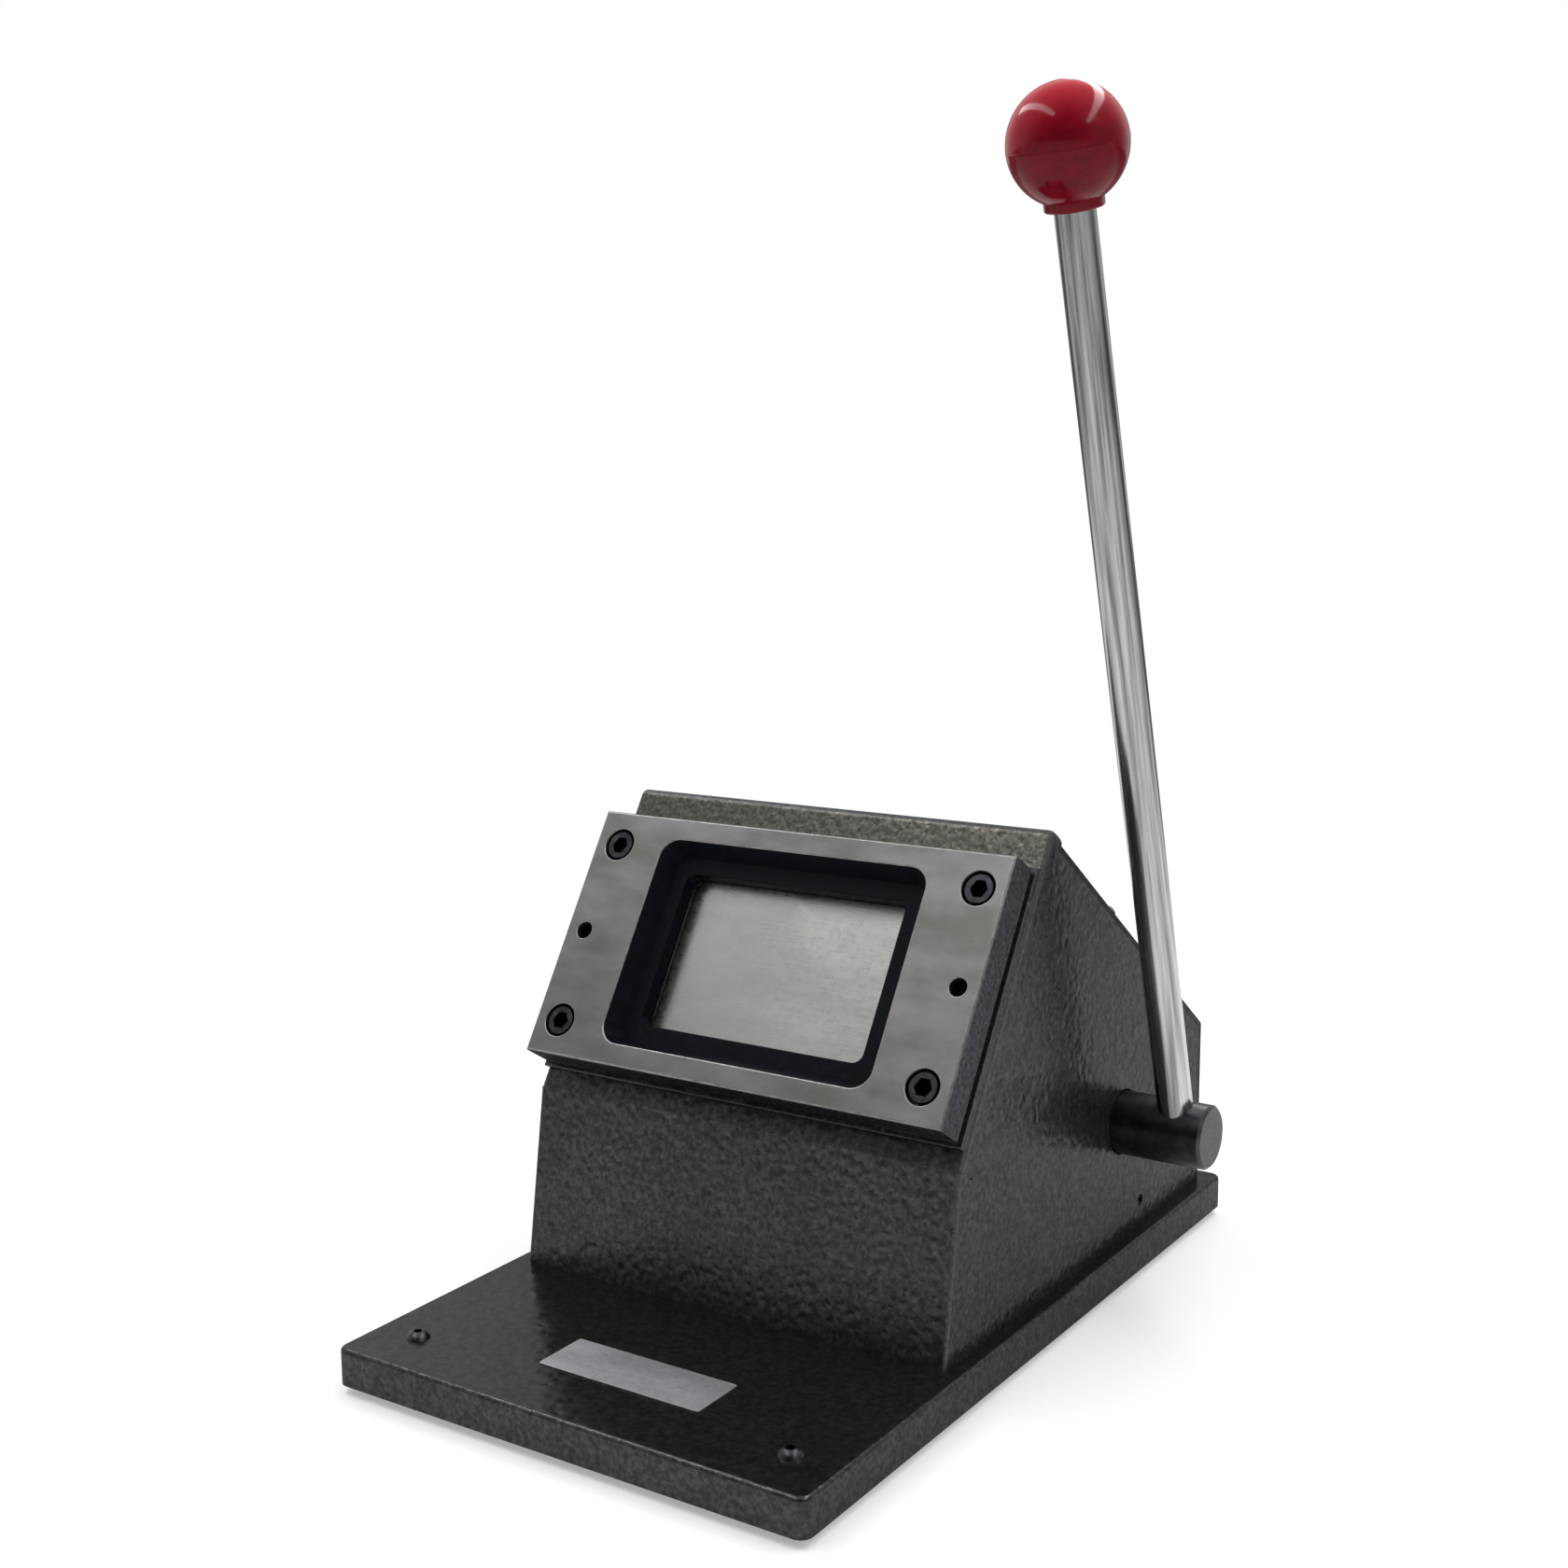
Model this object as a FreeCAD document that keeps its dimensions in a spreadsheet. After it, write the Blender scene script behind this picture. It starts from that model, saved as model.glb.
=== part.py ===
"""Hand-lever card cutter: a slanted die set on a welded housing, driven by a lever and an eccentric.

Frame: +X to the right, where the lever stands, +Y to the rear, +Z up.  The origin is on the
mid-plane, under the middle of the base plate, in the plane that the rubber feet stand on.
All sizes are millimetres and degrees.  A "depth" is measured into the machine from the front of
the die plate, along the line that the punch travels.
"""
import FreeCAD, Part
import math
import os
import re

import Sketcher

SIZES = {
    # base plate, feet and label
    "base_side": 5.5,
    "base_depth": 288,
    "base_thick": 12,
    "base_corner": 4,
    "base_round": 1.5,
    "foot_wide": 20,
    "foot_stand": 3,
    "foot_recess": 3,
    "foot_edge": 17,
    "foot_front": 19,
    "foot_rear": 22,
    "foot_screw": 4,
    "foot_screw_head": 7.6,
    "foot_screw_rise": 2.2,
    "foot_screw_crown": 3.6,
    "foot_screw_key": 2.5,
    "foot_screw_tip": 0.4,
    "foot_screw_gap": 0.4,
    "foot_nut_flats": 7,
    "foot_nut_thick": 3.2,
    "foot_nut_set": 1,
    "foot_nut_gap": 0.5,
    "label_width": 60,
    "label_depth": 20,
    "label_thick": 0.4,
    "label_shift": 4,
    "label_set": 35,
    "label_corner": 1,
    # housing
    "side_thick": 6,
    "front_thick": 6,
    "front_lean": 9.2,
    "cover_thick": 2.5,
    "cover_bend": 3,
    "rear_gap": 10,
    "rear_slope": 36.5,
    "rail_wide": 16,
    "rail_gap": 3,
    "rail_head_gap": 2,
    "bolt_inset": 25.5,
    "bolt_wide": 6,
    "bolt_head": 10,
    "bolt_head_high": 6,
    "bolt_gap": 0.6,
    "bolt_head_gap": 1,
    "bolt_sink": 1,
    "bolt_grip": 12,
    "bolt_key": 5,
    "rail_screw": 4,
    "rail_screw_long": 11,
    "rail_screw_inset": 35.2,
    "rail_screw_rise": 9,
    "rail_screw_sink": 0.6,
    "cover_screw": 3,
    "cover_screw_long": 9,
    "cover_screw_head": 5.7,
    "cover_screw_rise": 1.65,
    "cover_screw_crown": 2.8,
    "cover_screw_key": 2,
    "cover_screw_low": 26,
    "cover_screw_high": 96,
    "cover_screw_rear": 34,
    # die head
    "face_angle": 57.5,
    "face_set": 108.5,
    "face_rise": 112,
    "die_step": 1.5,
    "die_rim": 17,
    "die_thick": 12,
    "die_bevel": 0.6,
    "blank_width": 86,
    "blank_height": 54,
    "blank_corner": 3.5,
    "window_side": 9,
    "window_end": 9.5,
    "window_corner": 7,
    "window_depth": 7,
    "window_draft": 28,
    "slot_gap": 1.2,
    "spacer_step": 1,
    "slot_side": 11,
    "guide_thick": 2.8,
    "guide_step": 0.5,
    "guide_lip": 1.5,
    "mount_thick": 8,
    "mount_foot": 8,
    "mount_lip": 16,
    "mount_bevel": 2,
    "mount_clear": 2,
    "die_screw": 6,
    "die_screw_head": 10,
    "die_screw_head_high": 6,
    "die_screw_key": 5,
    "die_screw_side": 10,
    "die_screw_end": 12,
    "die_screw_gap": 1.6,
    "die_screw_sink": 0.5,
    "dowel": 6,
    "dowel_side": 7.5,
    "dowel_sink": 2.5,
    "dowel_short": 1,
    # guide pillars and springs
    "pillar": 12,
    "pillar_gap": 15,
    "pillar_side": 17.5,
    "pillar_long": 68,
    "pillar_ring_wall": 4,
    "pillar_ring_thick": 6,
    "bush_wall": 3,
    "bush_proud": 2,
    "spring_gap": 0.9,
    "spring_wire": 1.6,
    "spring_turns": 5,
    "spring_seat": 0.15,
    # punch and ram
    "fit_gap": 0.05,
    "punch_set": 0.3,
    "punch_long": 30,
    "holder_gap": 5.5,
    "holder_rim": 3,
    "holder_thick": 12,
    "punch_screw": 6,
    "punch_screw_side": 11,
    "punch_screw_end": 10,
    "punch_screw_head": 10,
    "punch_screw_head_high": 6,
    "punch_screw_key": 5,
    "punch_screw_grip": 12,
    "yoke_wall": 9.5,
    "yoke_long": 35.7,
    "yoke_height": 40,
    "yoke_arm": 22,
    "roller_side": 0.5,
    "yoke_lap": 9,
    "yoke_slot_gap": 2,
    "yoke_screw": 5,
    "yoke_screw_head": 8.5,
    "yoke_screw_head_high": 5,
    "yoke_screw_key": 4,
    "yoke_screw_grip": 12,
    "roller_wide": 26,
    "roller_long": 16,
    "roller_pin": 8,
    "roller_pin_over": 2.5,
    "clip_wide": 12,
    "clip_thick": 1,
    "roller_gap": 0.3,
    # shaft, cam and bearings
    "housing_gap": 3,
    "shaft_wide": 22,
    "shaft_end": 12,
    "shaft_tail": 2.7,
    "shaft_bevel": 1,
    "stroke": 6,
    "throw": 70,
    "cam_wide": 44,
    "cam_long": 15,
    "key_wide": 6,
    "key_deep": 3,
    "cam_screw": 5,
    "cam_screw_sink": 1,
    "housing_wall": 9,
    "housing_long": 14,
    "bearing_wall": 3,
    "shaft_clear": 0.5,
    "collar_wall": 7,
    "collar_long": 12,
    "collar_gap": 0.3,
    "collar_screw": 5,
    "collar_screw_sink": 1,
    "stop_pin": 6,
    "stop_pin_reach": 26,
    "stop_pin_x": 38,
    "stop_gap": 0.3,
    "stop_wide": 14,
    "stop_wall": 8,
    "stop_floor": 8,
    "stop_high": 28,
    "stop_screw": 5,
    "stop_screw_grip": 8,
    "stop_screw_head": 8.5,
    "stop_screw_head_high": 5,
    "stop_screw_key": 4,
    # lever
    "lever_lean": 16.3,
    "lever_long": 326.2,
    "lever_wide": 12,
    "lever_out": 20,
    "lever_foot": 6,
    "lever_screw": 5,
    "lever_screw_long": 12,
    "lever_spigot": 8,
    "lever_spigot_long": 16,
    "knob_wide": 35,
    "knob_neck": 17.4,
    "knob_foot": 0.2,
    "knob_neck_long": 5,
    "insert_wide": 12,
    "insert_end": 2,
    # shares that every screw keeps: a socket's depth in its head's height, a dome's radius and
    # its socket's depth in the dome's height, and a grub screw's socket in its thread's width
    "key_share": 0.5,
    "dome_share": 1.6,
    "dome_key_share": 0.7,
    "grub_key_share": 0.5,
}

# sizes that follow from the driving ones
DERIVED = {
    "body_width": "blank_width + 2 * (pillar_gap + pillar_side + side_thick)",
    "base_width": "body_width + 2 * base_side",
    "foot_hole": "foot_screw + foot_screw_gap",
    "foot_nut_room": "foot_nut_flats / cos(30) + foot_nut_gap",
    "bolt_hole": "bolt_wide + bolt_gap",
    "bolt_room": "bolt_head + bolt_head_gap",
    "bolt_room_deep": "bolt_head_high + bolt_sink",
    "die_width": "body_width - 2 * die_step",
    "die_height": "blank_height + 2 * die_rim",
    "window_width": "blank_width + 2 * window_side",
    "window_height": "blank_height + 2 * window_end",
    "slot_width": "blank_width + 2 * slot_side",
    "guide_width": "body_width - 2 * guide_step",
    "guide_height": "die_height + 2 * guide_lip",
    "mount_low": "die_height / 2 + mount_foot",
    "mount_high": "die_height / 2 + mount_lip",
    "die_screw_x": "die_width / 2 - die_screw_side",
    "die_screw_v": "die_height / 2 - die_screw_end",
    "die_screw_room": "die_screw_head + die_screw_gap",
    "dowel_x": "die_width / 2 - dowel_side",
    "pillar_x": "blank_width / 2 + pillar_gap",
    "pillar_ring": "pillar + 2 * pillar_ring_wall",
    "bush_wide": "pillar + 2 * bush_wall",
    "spring_wide": "pillar + 2 * (spring_gap + spring_wire)",
    "holder_width": "body_width - 2 * (side_thick + holder_gap)",
    "holder_height": "blank_height + 2 * holder_rim",
    "punch_screw_x": "blank_width / 2 - punch_screw_side",
    "punch_screw_v": "blank_height / 2 - punch_screw_end",
    "yoke_slot": "roller_long + 2 * roller_side",
    "yoke_width": "yoke_slot + 2 * yoke_wall",
    "yoke_screw_x": "(yoke_slot + yoke_wall) / 2",
    "bearing_wide": "shaft_wide + 2 * bearing_wall",
    "housing_wide": "bearing_wide + 2 * housing_wall",
    "shaft_rise": "rail_wide + housing_wide / 2 + housing_gap",
    "collar_wide": "shaft_wide + 2 * collar_wall",
    "collar_screw_long": "collar_wall - collar_screw_sink",
    "cam_offset": "stroke / 2 / sin(throw / 2)",
    "cam_screw_long": ("sqrt((cam_wide / 2)^2 - cam_offset^2) - shaft_wide / 2"
                       " - cam_screw_sink"),
    "knob_drop": "knob_wide / 2 + knob_foot",
    "insert_long": "lever_spigot_long + insert_end",
}

BASE_TOP = "(foot_stand + base_thick)"
FACE_Y = "(face_set - base_depth / 2)"
FACE_Z = f"({BASE_TOP} + face_rise)"
REAR_Y = "(base_depth / 2 - rear_gap)"

# depths into the machine from the front of the die plate
SLOT_Q = "die_thick"
GUIDE_Q = "(die_thick + slot_gap)"
MOUNT_Q = f"({GUIDE_Q} + guide_thick)"
MOUNT_BACK_Q = f"({MOUNT_Q} + mount_thick)"
PUNCH_Q = f"({GUIDE_Q} + punch_set)"
HOLDER_Q = f"({PUNCH_Q} + punch_long)"
HOLDER_BACK_Q = f"({HOLDER_Q} + holder_thick)"
ROLLER_Q = f"({HOLDER_BACK_Q} + yoke_long)"

# how far the shaft stands from the eccentric's roller at rest
REACH = ("(sqrt((cam_wide / 2 + roller_wide / 2)^2 - (stroke / 2 / tan(throw / 2))^2)"
         " - stroke / 2)")
SHAFT_Q = f"({ROLLER_Q} + {REACH} + roller_gap)"
SHAFT_V = f"(({SHAFT_Q} * cos(face_angle) + shaft_rise - face_rise) / sin(face_angle))"
SHAFT_Y = f"({FACE_Y} + {SHAFT_V} * cos(face_angle) + {SHAFT_Q} * sin(face_angle))"
SHAFT_Z = f"({BASE_TOP} + shaft_rise)"

INSIDE_X = "(body_width / 2 - side_thick)"
RAIL_X = f"({INSIDE_X} - rail_wide / 2)"
ARM_X = "(body_width / 2 + lever_out)"

X_AXIS = FreeCAD.Vector(1, 0, 0)
Y_AXIS = FreeCAD.Vector(0, 1, 0)
Z_AXIS = FreeCAD.Vector(0, 0, 1)

doc = FreeCAD.newDocument("CardCutter")
sheet = doc.addObject("Spreadsheet::Sheet", "Dims")
nodes = {}


# ---------------------------------------------------------------- document helpers

def fill_sheet():
    """Put every driving size in the sheet as a plain number with an alias."""
    for row, (name, size) in enumerate(SIZES.items(), start=1):
        sheet.set(f"A{row}", name)
        sheet.set(f"B{row}", str(size))
        sheet.setAlias(f"B{row}", name)
    doc.recompute()


def bind(text):
    """Point each size that an expression names at the sheet, and work out what follows."""
    def swap(match):
        word = match.group(0)
        if word in DERIVED:
            return f"({bind(DERIVED[word])})"
        return f"Dims.{word}" if word in SIZES else word
    return re.sub(r"[a-z][a-z_]*", swap, str(text))


def number(text):
    """The present value of an expression, as a float."""
    return float(sheet.evalExpression(bind(text)))


def minus(text):
    """The expression with its sign changed."""
    return f"-({text})"


def face_point(along, depth):
    """(y, z) of a point in the mid-plane, up the slanted face by along and depth behind it."""
    return (f"({FACE_Y} + ({along}) * cos(face_angle) + ({depth}) * sin(face_angle))",
            f"({FACE_Z} + ({along}) * sin(face_angle) - ({depth}) * cos(face_angle))")


def place(thing, at=("0", "0", "0"), axis=X_AXIS, angle="0"):
    """Set a Placement whose position and angle follow the sheet."""
    thing.Placement = FreeCAD.Placement(FreeCAD.Vector(*map(number, at)),
                                        FreeCAD.Rotation(axis, number(angle)))
    for letter, text in zip("xyz", at):
        thing.setExpression(f"Placement.Base.{letter}", bind(text))
    thing.setExpression("Placement.Rotation.Angle", bind(angle))
    return thing


def on_face(thing):
    """Carry a piece drawn flat, with its Z out of the die plate, to the slanted face."""
    return place(thing, ("0", FACE_Y, FACE_Z), X_AXIS, "face_angle")


def on_shaft(thing, angle="0"):
    """Carry a piece drawn round the origin to the cross shaft, turned by angle about it."""
    return place(thing, ("0", SHAFT_Y, SHAFT_Z), X_AXIS, angle)


def node(label, thing):
    """Name a finished sub-part and keep it for export."""
    thing.Label = label
    nodes[label] = thing
    return thing


def new_body(name):
    """An empty PartDesign body."""
    return doc.addObject("PartDesign::Body", name)


def sketch_on(body, role, height="0"):
    """A sketch on one of the body's origin planes, raised along the plane's normal."""
    sketch = body.newObject("Sketcher::SketchObject", "Sketch")
    plane = next(item for item in body.Origin.OriginFeatures if item.Role == role)
    sketch.AttachmentSupport = (plane, [""])
    sketch.MapMode = "FlatFace"
    sketch.setExpression("AttachmentOffset.Base.z", bind(height))
    return sketch


def fix(sketch, kind, geometry, point, text):
    """Hold a sketch point's distance from the origin at an expression."""
    index = sketch.addConstraint(
        Sketcher.Constraint(kind, -1, 1, geometry, point, number(text)))
    sketch.setExpression(f"Constraints[{index}]", bind(text))


def hold(sketch, kind, geometry, text):
    """Hold a sketch radius or diameter at an expression."""
    index = sketch.addConstraint(Sketcher.Constraint(kind, geometry, number(text)))
    sketch.setExpression(f"Constraints[{index}]", bind(text))


def arc_between(start, end, radius):
    """The counter-clockwise arc of that radius, bulging to the right of start to end."""
    chord = end - start
    middle = (start + end) * 0.5
    rise = math.sqrt(max(radius ** 2 - (chord.Length / 2) ** 2, 0))
    side = FreeCAD.Vector(-chord.y, chord.x, 0).normalize()
    centre = middle + side * rise
    first = math.atan2(start.y - centre.y, start.x - centre.x)
    last = math.atan2(end.y - centre.y, end.x - centre.x)
    return Part.ArcOfCircle(Part.Circle(centre, Z_AXIS, radius), first, last)


def outline(sketch, points, arcs=None):
    """Draw a closed outline through (x, y) expressions, counter-clockwise.

    arcs gives the radius of each side that is round, by the number of its first point.
    """
    arcs = arcs or {}
    spots = [FreeCAD.Vector(number(x), number(y), 0) for x, y in points]
    first = sketch.GeometryCount
    count = len(points)
    for index, start in enumerate(spots):
        end = spots[(index + 1) % count]
        if index in arcs:
            sketch.addGeometry(arc_between(start, end, number(arcs[index])))
        else:
            sketch.addGeometry(Part.LineSegment(start, end))
    for index in range(count):
        following = first + (index + 1) % count
        sketch.addConstraint(
            Sketcher.Constraint("Coincident", first + index, 2, following, 1))
    for index, (x, y) in enumerate(points):
        fix(sketch, "DistanceX", first + index, 1, x)
        fix(sketch, "DistanceY", first + index, 1, y)
        if index in arcs:
            hold(sketch, "Radius", first + index, arcs[index])


def rectangle(sketch, left, right, low, high):
    """Draw a rectangle between four expressions."""
    outline(sketch, [(left, low), (right, low), (right, high), (left, high)])


def circle(sketch, x, y, diameter):
    """Draw a circle at (x, y) expressions."""
    index = sketch.addGeometry(Part.Circle(FreeCAD.Vector(number(x), number(y), 0),
                                           Z_AXIS, number(diameter) / 2))
    fix(sketch, "DistanceX", index, 3, x)
    fix(sketch, "DistanceY", index, 3, y)
    hold(sketch, "Diameter", index, diameter)


def rounded(sketch, width, height, radius):
    """Draw a rectangle with round corners about the origin."""
    x = f"(({width}) / 2)"
    y = f"(({height}) / 2)"
    near_x = f"({x} - ({radius}))"
    near_y = f"({y} - ({radius}))"
    points = [(minus(near_x), minus(y)), (near_x, minus(y)),
              (x, minus(near_y)), (x, near_y),
              (near_x, y), (minus(near_x), y),
              (minus(x), near_y), (minus(x), minus(near_y))]
    outline(sketch, points, {index: radius for index in (1, 3, 5, 7)})


def pad(body, sketch, length):
    """Raise a sketch along its normal."""
    feature = body.newObject("PartDesign::Pad", "Pad")
    feature.Profile = sketch
    feature.setExpression("Length", bind(length))
    doc.recompute()
    return feature


def pocket(body, sketch, length, draft=None):
    """Cut a sketch against its normal, and prove that it took something away."""
    before = body.Shape.Volume
    feature = body.newObject("PartDesign::Pocket", "Pocket")
    feature.Profile = sketch
    feature.setExpression("Length", bind(length))
    if draft:
        feature.setExpression("TaperAngle", bind(draft))
    doc.recompute()
    if body.Shape.Volume >= before:
        raise RuntimeError(f"{body.Label}: a pocket cuts nothing")
    return feature


def drill(body, role, height, spots, diameter, depth):
    """Cut round holes from a plane at that height, down its normal."""
    sketch = sketch_on(body, role, height)
    for x, y in spots:
        circle(sketch, x, y, diameter)
    return pocket(body, sketch, depth)


def dress(body, kind, size, wanted):
    """Fillet or chamfer the edges of the body that the wanted test picks."""
    base = body.Tip
    names = [f"Edge{index}" for index, edge in enumerate(base.Shape.Edges, start=1)
             if wanted(edge)]
    if not names:
        raise RuntimeError(f"{body.Label}: no edge to dress")
    feature = body.newObject(f"PartDesign::{kind}", kind)
    feature.Base = (base, names)
    feature.setExpression("Radius" if kind == "Fillet" else "Size", bind(size))
    doc.recompute()
    return feature


def near(left, right):
    """Whether two lengths agree to a hundredth of a millimetre."""
    return abs(left - right) < 0.01


def revolve(body, points, arcs=None):
    """Turn an (radius, height) outline about the body's own Z."""
    sketch = sketch_on(body, "XZ_Plane")
    outline(sketch, points, arcs)
    feature = body.newObject("PartDesign::Revolution", "Revolution")
    feature.Profile = sketch
    feature.ReferenceAxis = (sketch, ["V_Axis"])
    feature.Angle = 360
    doc.recompute()
    return feature


def cylinder(diameter, height, at=("0", "0", "0"), axis=X_AXIS, angle="0"):
    """A cylinder whose own Z is turned from up by angle about axis."""
    solid = doc.addObject("Part::Cylinder", "Cylinder")
    solid.setExpression("Radius", bind(f"({diameter}) / 2"))
    solid.setExpression("Height", bind(height))
    return place(solid, at, axis, angle)


def rod_x(diameter, start, length, y="0", z="0"):
    """A cylinder along +X from start."""
    return cylinder(diameter, length, (start, y, z), Y_AXIS, "90")


def block(x, y, z, width, depth, height):
    """A box from its lowest corner."""
    solid = doc.addObject("Part::Box", "Box")
    solid.setExpression("Length", bind(width))
    solid.setExpression("Width", bind(depth))
    solid.setExpression("Height", bind(height))
    return place(solid, (x, y, z))


def hexagon(flats, height, at=("0", "0", "0"), axis=X_AXIS, angle="0"):
    """A six-sided prism across its flats."""
    solid = doc.addObject("Part::Prism", "Prism")
    solid.Polygon = 6
    solid.setExpression("Circumradius", bind(f"({flats}) / 2 / cos(30)"))
    solid.setExpression("Height", bind(height))
    return place(solid, at, axis, angle)


def fuse(*solids):
    """One solid from several."""
    joined = doc.addObject("Part::MultiFuse", "Fusion")
    joined.Shapes = list(solids)
    return joined


def cut(base, *tools):
    """The base without the tools."""
    result = doc.addObject("Part::Cut", "Cut")
    result.Base = base
    result.Tool = tools[0] if len(tools) == 1 else fuse(*tools)
    return result


def group(*things):
    """Several solids, or one that has a place of its own, to be carried as one."""
    bundle = doc.addObject("Part::Compound", "Group")
    bundle.Links = list(things)
    return bundle


def copies(label, master, spots, angles=None):
    """A node of separate equal solids: the master at each (x, y, z), turned about X."""
    links = []
    for index, spot in enumerate(spots):
        link = doc.addObject("App::Link", "Copy")
        link.LinkedObject = master
        links.append(place(link, spot, X_AXIS, angles[index] if angles else "0"))
    return node(label, group(*links))


def cap_screw(size, head, head_high, key, length):
    """A socket cap screw, its head above the origin plane and its shank below."""
    shank = cylinder(size, length, ("0", "0", minus(length)))
    top = cylinder(head, head_high)
    socket = hexagon(key, f"{head_high} * key_share",
                     ("0", "0", f"{head_high} * (1 - key_share)"))
    return cut(fuse(shank, top), socket)


def button_screw(name, size, head, rise, crown, key, length):
    """A domed socket screw, its head above the origin plane and its shank below."""
    body = new_body(name)
    half = f"({head} / 2)"
    revolve(body, [("0", minus(length)), (f"({size} / 2)", minus(length)),
                   (f"({size} / 2)", "0"), (half, "0"), (f"({crown} / 2)", rise), ("0", rise)],
            {3: f"({rise} * dome_share)"})
    sketch = sketch_on(body, "XY_Plane", rise)
    spots = [(f"{key} / 2 / cos(30) * cos({turn})", f"{key} / 2 / cos(30) * sin({turn})")
             for turn in range(0, 360, 60)]
    outline(sketch, spots)
    pocket(body, sketch, f"{rise} * dome_key_share")
    return body


def grub_screw(size, length):
    """A headless socket screw from the origin down, its socket at the top."""
    key = f"({size} * grub_key_share)"
    return cut(cylinder(size, length, ("0", "0", minus(length))),
               hexagon(key, key, ("0", "0", minus(key))))


# ---------------------------------------------------------------- base plate, feet and label

INNER_TOP_Q = f"({MOUNT_Q} + front_thick / sin(face_angle + front_lean))"
BEND = face_point("-mount_low", MOUNT_Q)
FRONT_INNER = face_point("-mount_low", INNER_TOP_Q)
MOUNT_FOOT = face_point("-mount_low", MOUNT_BACK_Q)
FRONT_Y = f"({BEND[0]} - ({BEND[1]} - {BASE_TOP}) * tan(front_lean))"
FRONT_INNER_Y = f"({FRONT_Y} + front_thick / cos(front_lean))"
FOOT_X = "(base_width / 2 - foot_edge)"
FOOT_FRONT_Y = "(foot_front - base_depth / 2)"
FOOT_REAR_Y = "(base_depth / 2 - foot_rear)"
FOOT_SPOTS = [(x, y) for y in (FOOT_FRONT_Y, FOOT_REAR_Y) for x in (minus(FOOT_X), FOOT_X)]
FOOT_HIGH = "(foot_stand + foot_recess)"
RAIL_START = f"({FRONT_INNER_Y} + rail_gap)"
RAIL_END = f"({FOOT_REAR_Y} - foot_screw_head / 2 - rail_head_gap)"
BOLT_SPOTS = [(x, y) for y in (f"({RAIL_START} + bolt_inset)", f"({RAIL_END} - bolt_inset)")
              for x in (minus(RAIL_X), RAIL_X)]
RAIL_SCREW_Y = f"({RAIL_END} - rail_screw_inset)"
STOP_X = "(0 - stop_pin_x)"
STOP_TIP = ("(stop_pin_reach * sin(throw / 2) + stop_pin / 2 * cos(throw / 2) + stop_gap)")
STOP_SCREW_Y = f"({STOP_TIP} + stop_wall / 2)"
STOP_SPOTS = [(STOP_X, f"({SHAFT_Y} + {side} * {STOP_SCREW_Y})") for side in (-1, 1)]


def make_base_plate():
    """The thick plate that everything stands on."""
    body = new_body("BasePlate")
    half_x = "(base_width / 2)"
    half_y = "(base_depth / 2)"
    sketch = sketch_on(body, "XY_Plane", "foot_stand")
    rectangle(sketch, minus(half_x), half_x, minus(half_y), half_y)
    pad(body, sketch, "base_thick")
    dress(body, "Fillet", "base_corner",
          lambda edge: near(edge.BoundBox.ZLength, SIZES["base_thick"]))
    top = number(BASE_TOP)
    dress(body, "Fillet", "base_round",
          lambda edge: near(edge.BoundBox.ZMin, top) and near(edge.BoundBox.ZMax, top))
    drill(body, "XY_Plane", BASE_TOP, FOOT_SPOTS, "foot_hole", "base_thick")
    drill(body, "XY_Plane", FOOT_HIGH, FOOT_SPOTS, "foot_wide", "foot_recess")
    drill(body, "XY_Plane", BASE_TOP, BOLT_SPOTS, "bolt_hole", "base_thick")
    drill(body, "XY_Plane", "foot_stand + bolt_room_deep", BOLT_SPOTS, "bolt_room",
          "bolt_room_deep")
    drill(body, "XY_Plane", BASE_TOP, STOP_SPOTS, "stop_screw", "stop_screw_grip")
    node("base_plate", body)


def make_feet():
    """Rubber feet, and the screws and nuts that clamp them through the base."""
    foot = cut(cylinder("foot_wide", FOOT_HIGH),
               cylinder("foot_hole", FOOT_HIGH),
               cylinder("foot_nut_room", "foot_nut_set + foot_nut_thick"))
    copies("rubber_feet", foot, [(x, y, "0") for x, y in FOOT_SPOTS])
    length = f"({BASE_TOP} - foot_screw_tip)"
    screw = button_screw("FootScrew", "foot_screw", "foot_screw_head", "foot_screw_rise",
                         "foot_screw_crown", "foot_screw_key", length)
    copies("foot_screws", screw, [(x, y, BASE_TOP) for x, y in FOOT_SPOTS])
    nut = cut(hexagon("foot_nut_flats", "foot_nut_thick"),
              cylinder("foot_screw", "foot_nut_thick"))
    copies("foot_nuts", nut, [(x, y, "foot_nut_set") for x, y in FOOT_SPOTS])


def make_label_plate():
    """A bare plate stuck to the apron in front of the housing."""
    body = new_body("LabelPlate")
    sketch = sketch_on(body, "XY_Plane")
    rounded(sketch, "label_width", "label_depth", "label_corner")
    pad(body, sketch, "label_thick")
    node("label_plate", place(body, ("label_shift", "label_set - base_depth / 2", BASE_TOP)))


# ---------------------------------------------------------------- housing

COVER_TOP = face_point("mount_high - mount_bevel", MOUNT_BACK_Q)
COVER_TOP_INNER = face_point(
    "mount_high - mount_bevel - cover_thick / sin(rear_slope + face_angle)", MOUNT_BACK_Q)
CORNER_Z = f"({COVER_TOP[1]} - ({REAR_Y} - {COVER_TOP[0]}) * tan(rear_slope))"
REAR_INNER_Y = f"({REAR_Y} - cover_thick)"
CORNER_INNER_Z = (f"({CORNER_Z} + cover_thick * tan(rear_slope)"
                  " - cover_thick / cos(rear_slope))")


def profile_body(name, points, left, right):
    """A body drawn in side view and made between two X positions."""
    body = new_body(name)
    sketch = sketch_on(body, "YZ_Plane", left)
    outline(sketch, points)
    pad(body, sketch, f"({right}) - ({left})")
    return body


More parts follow.
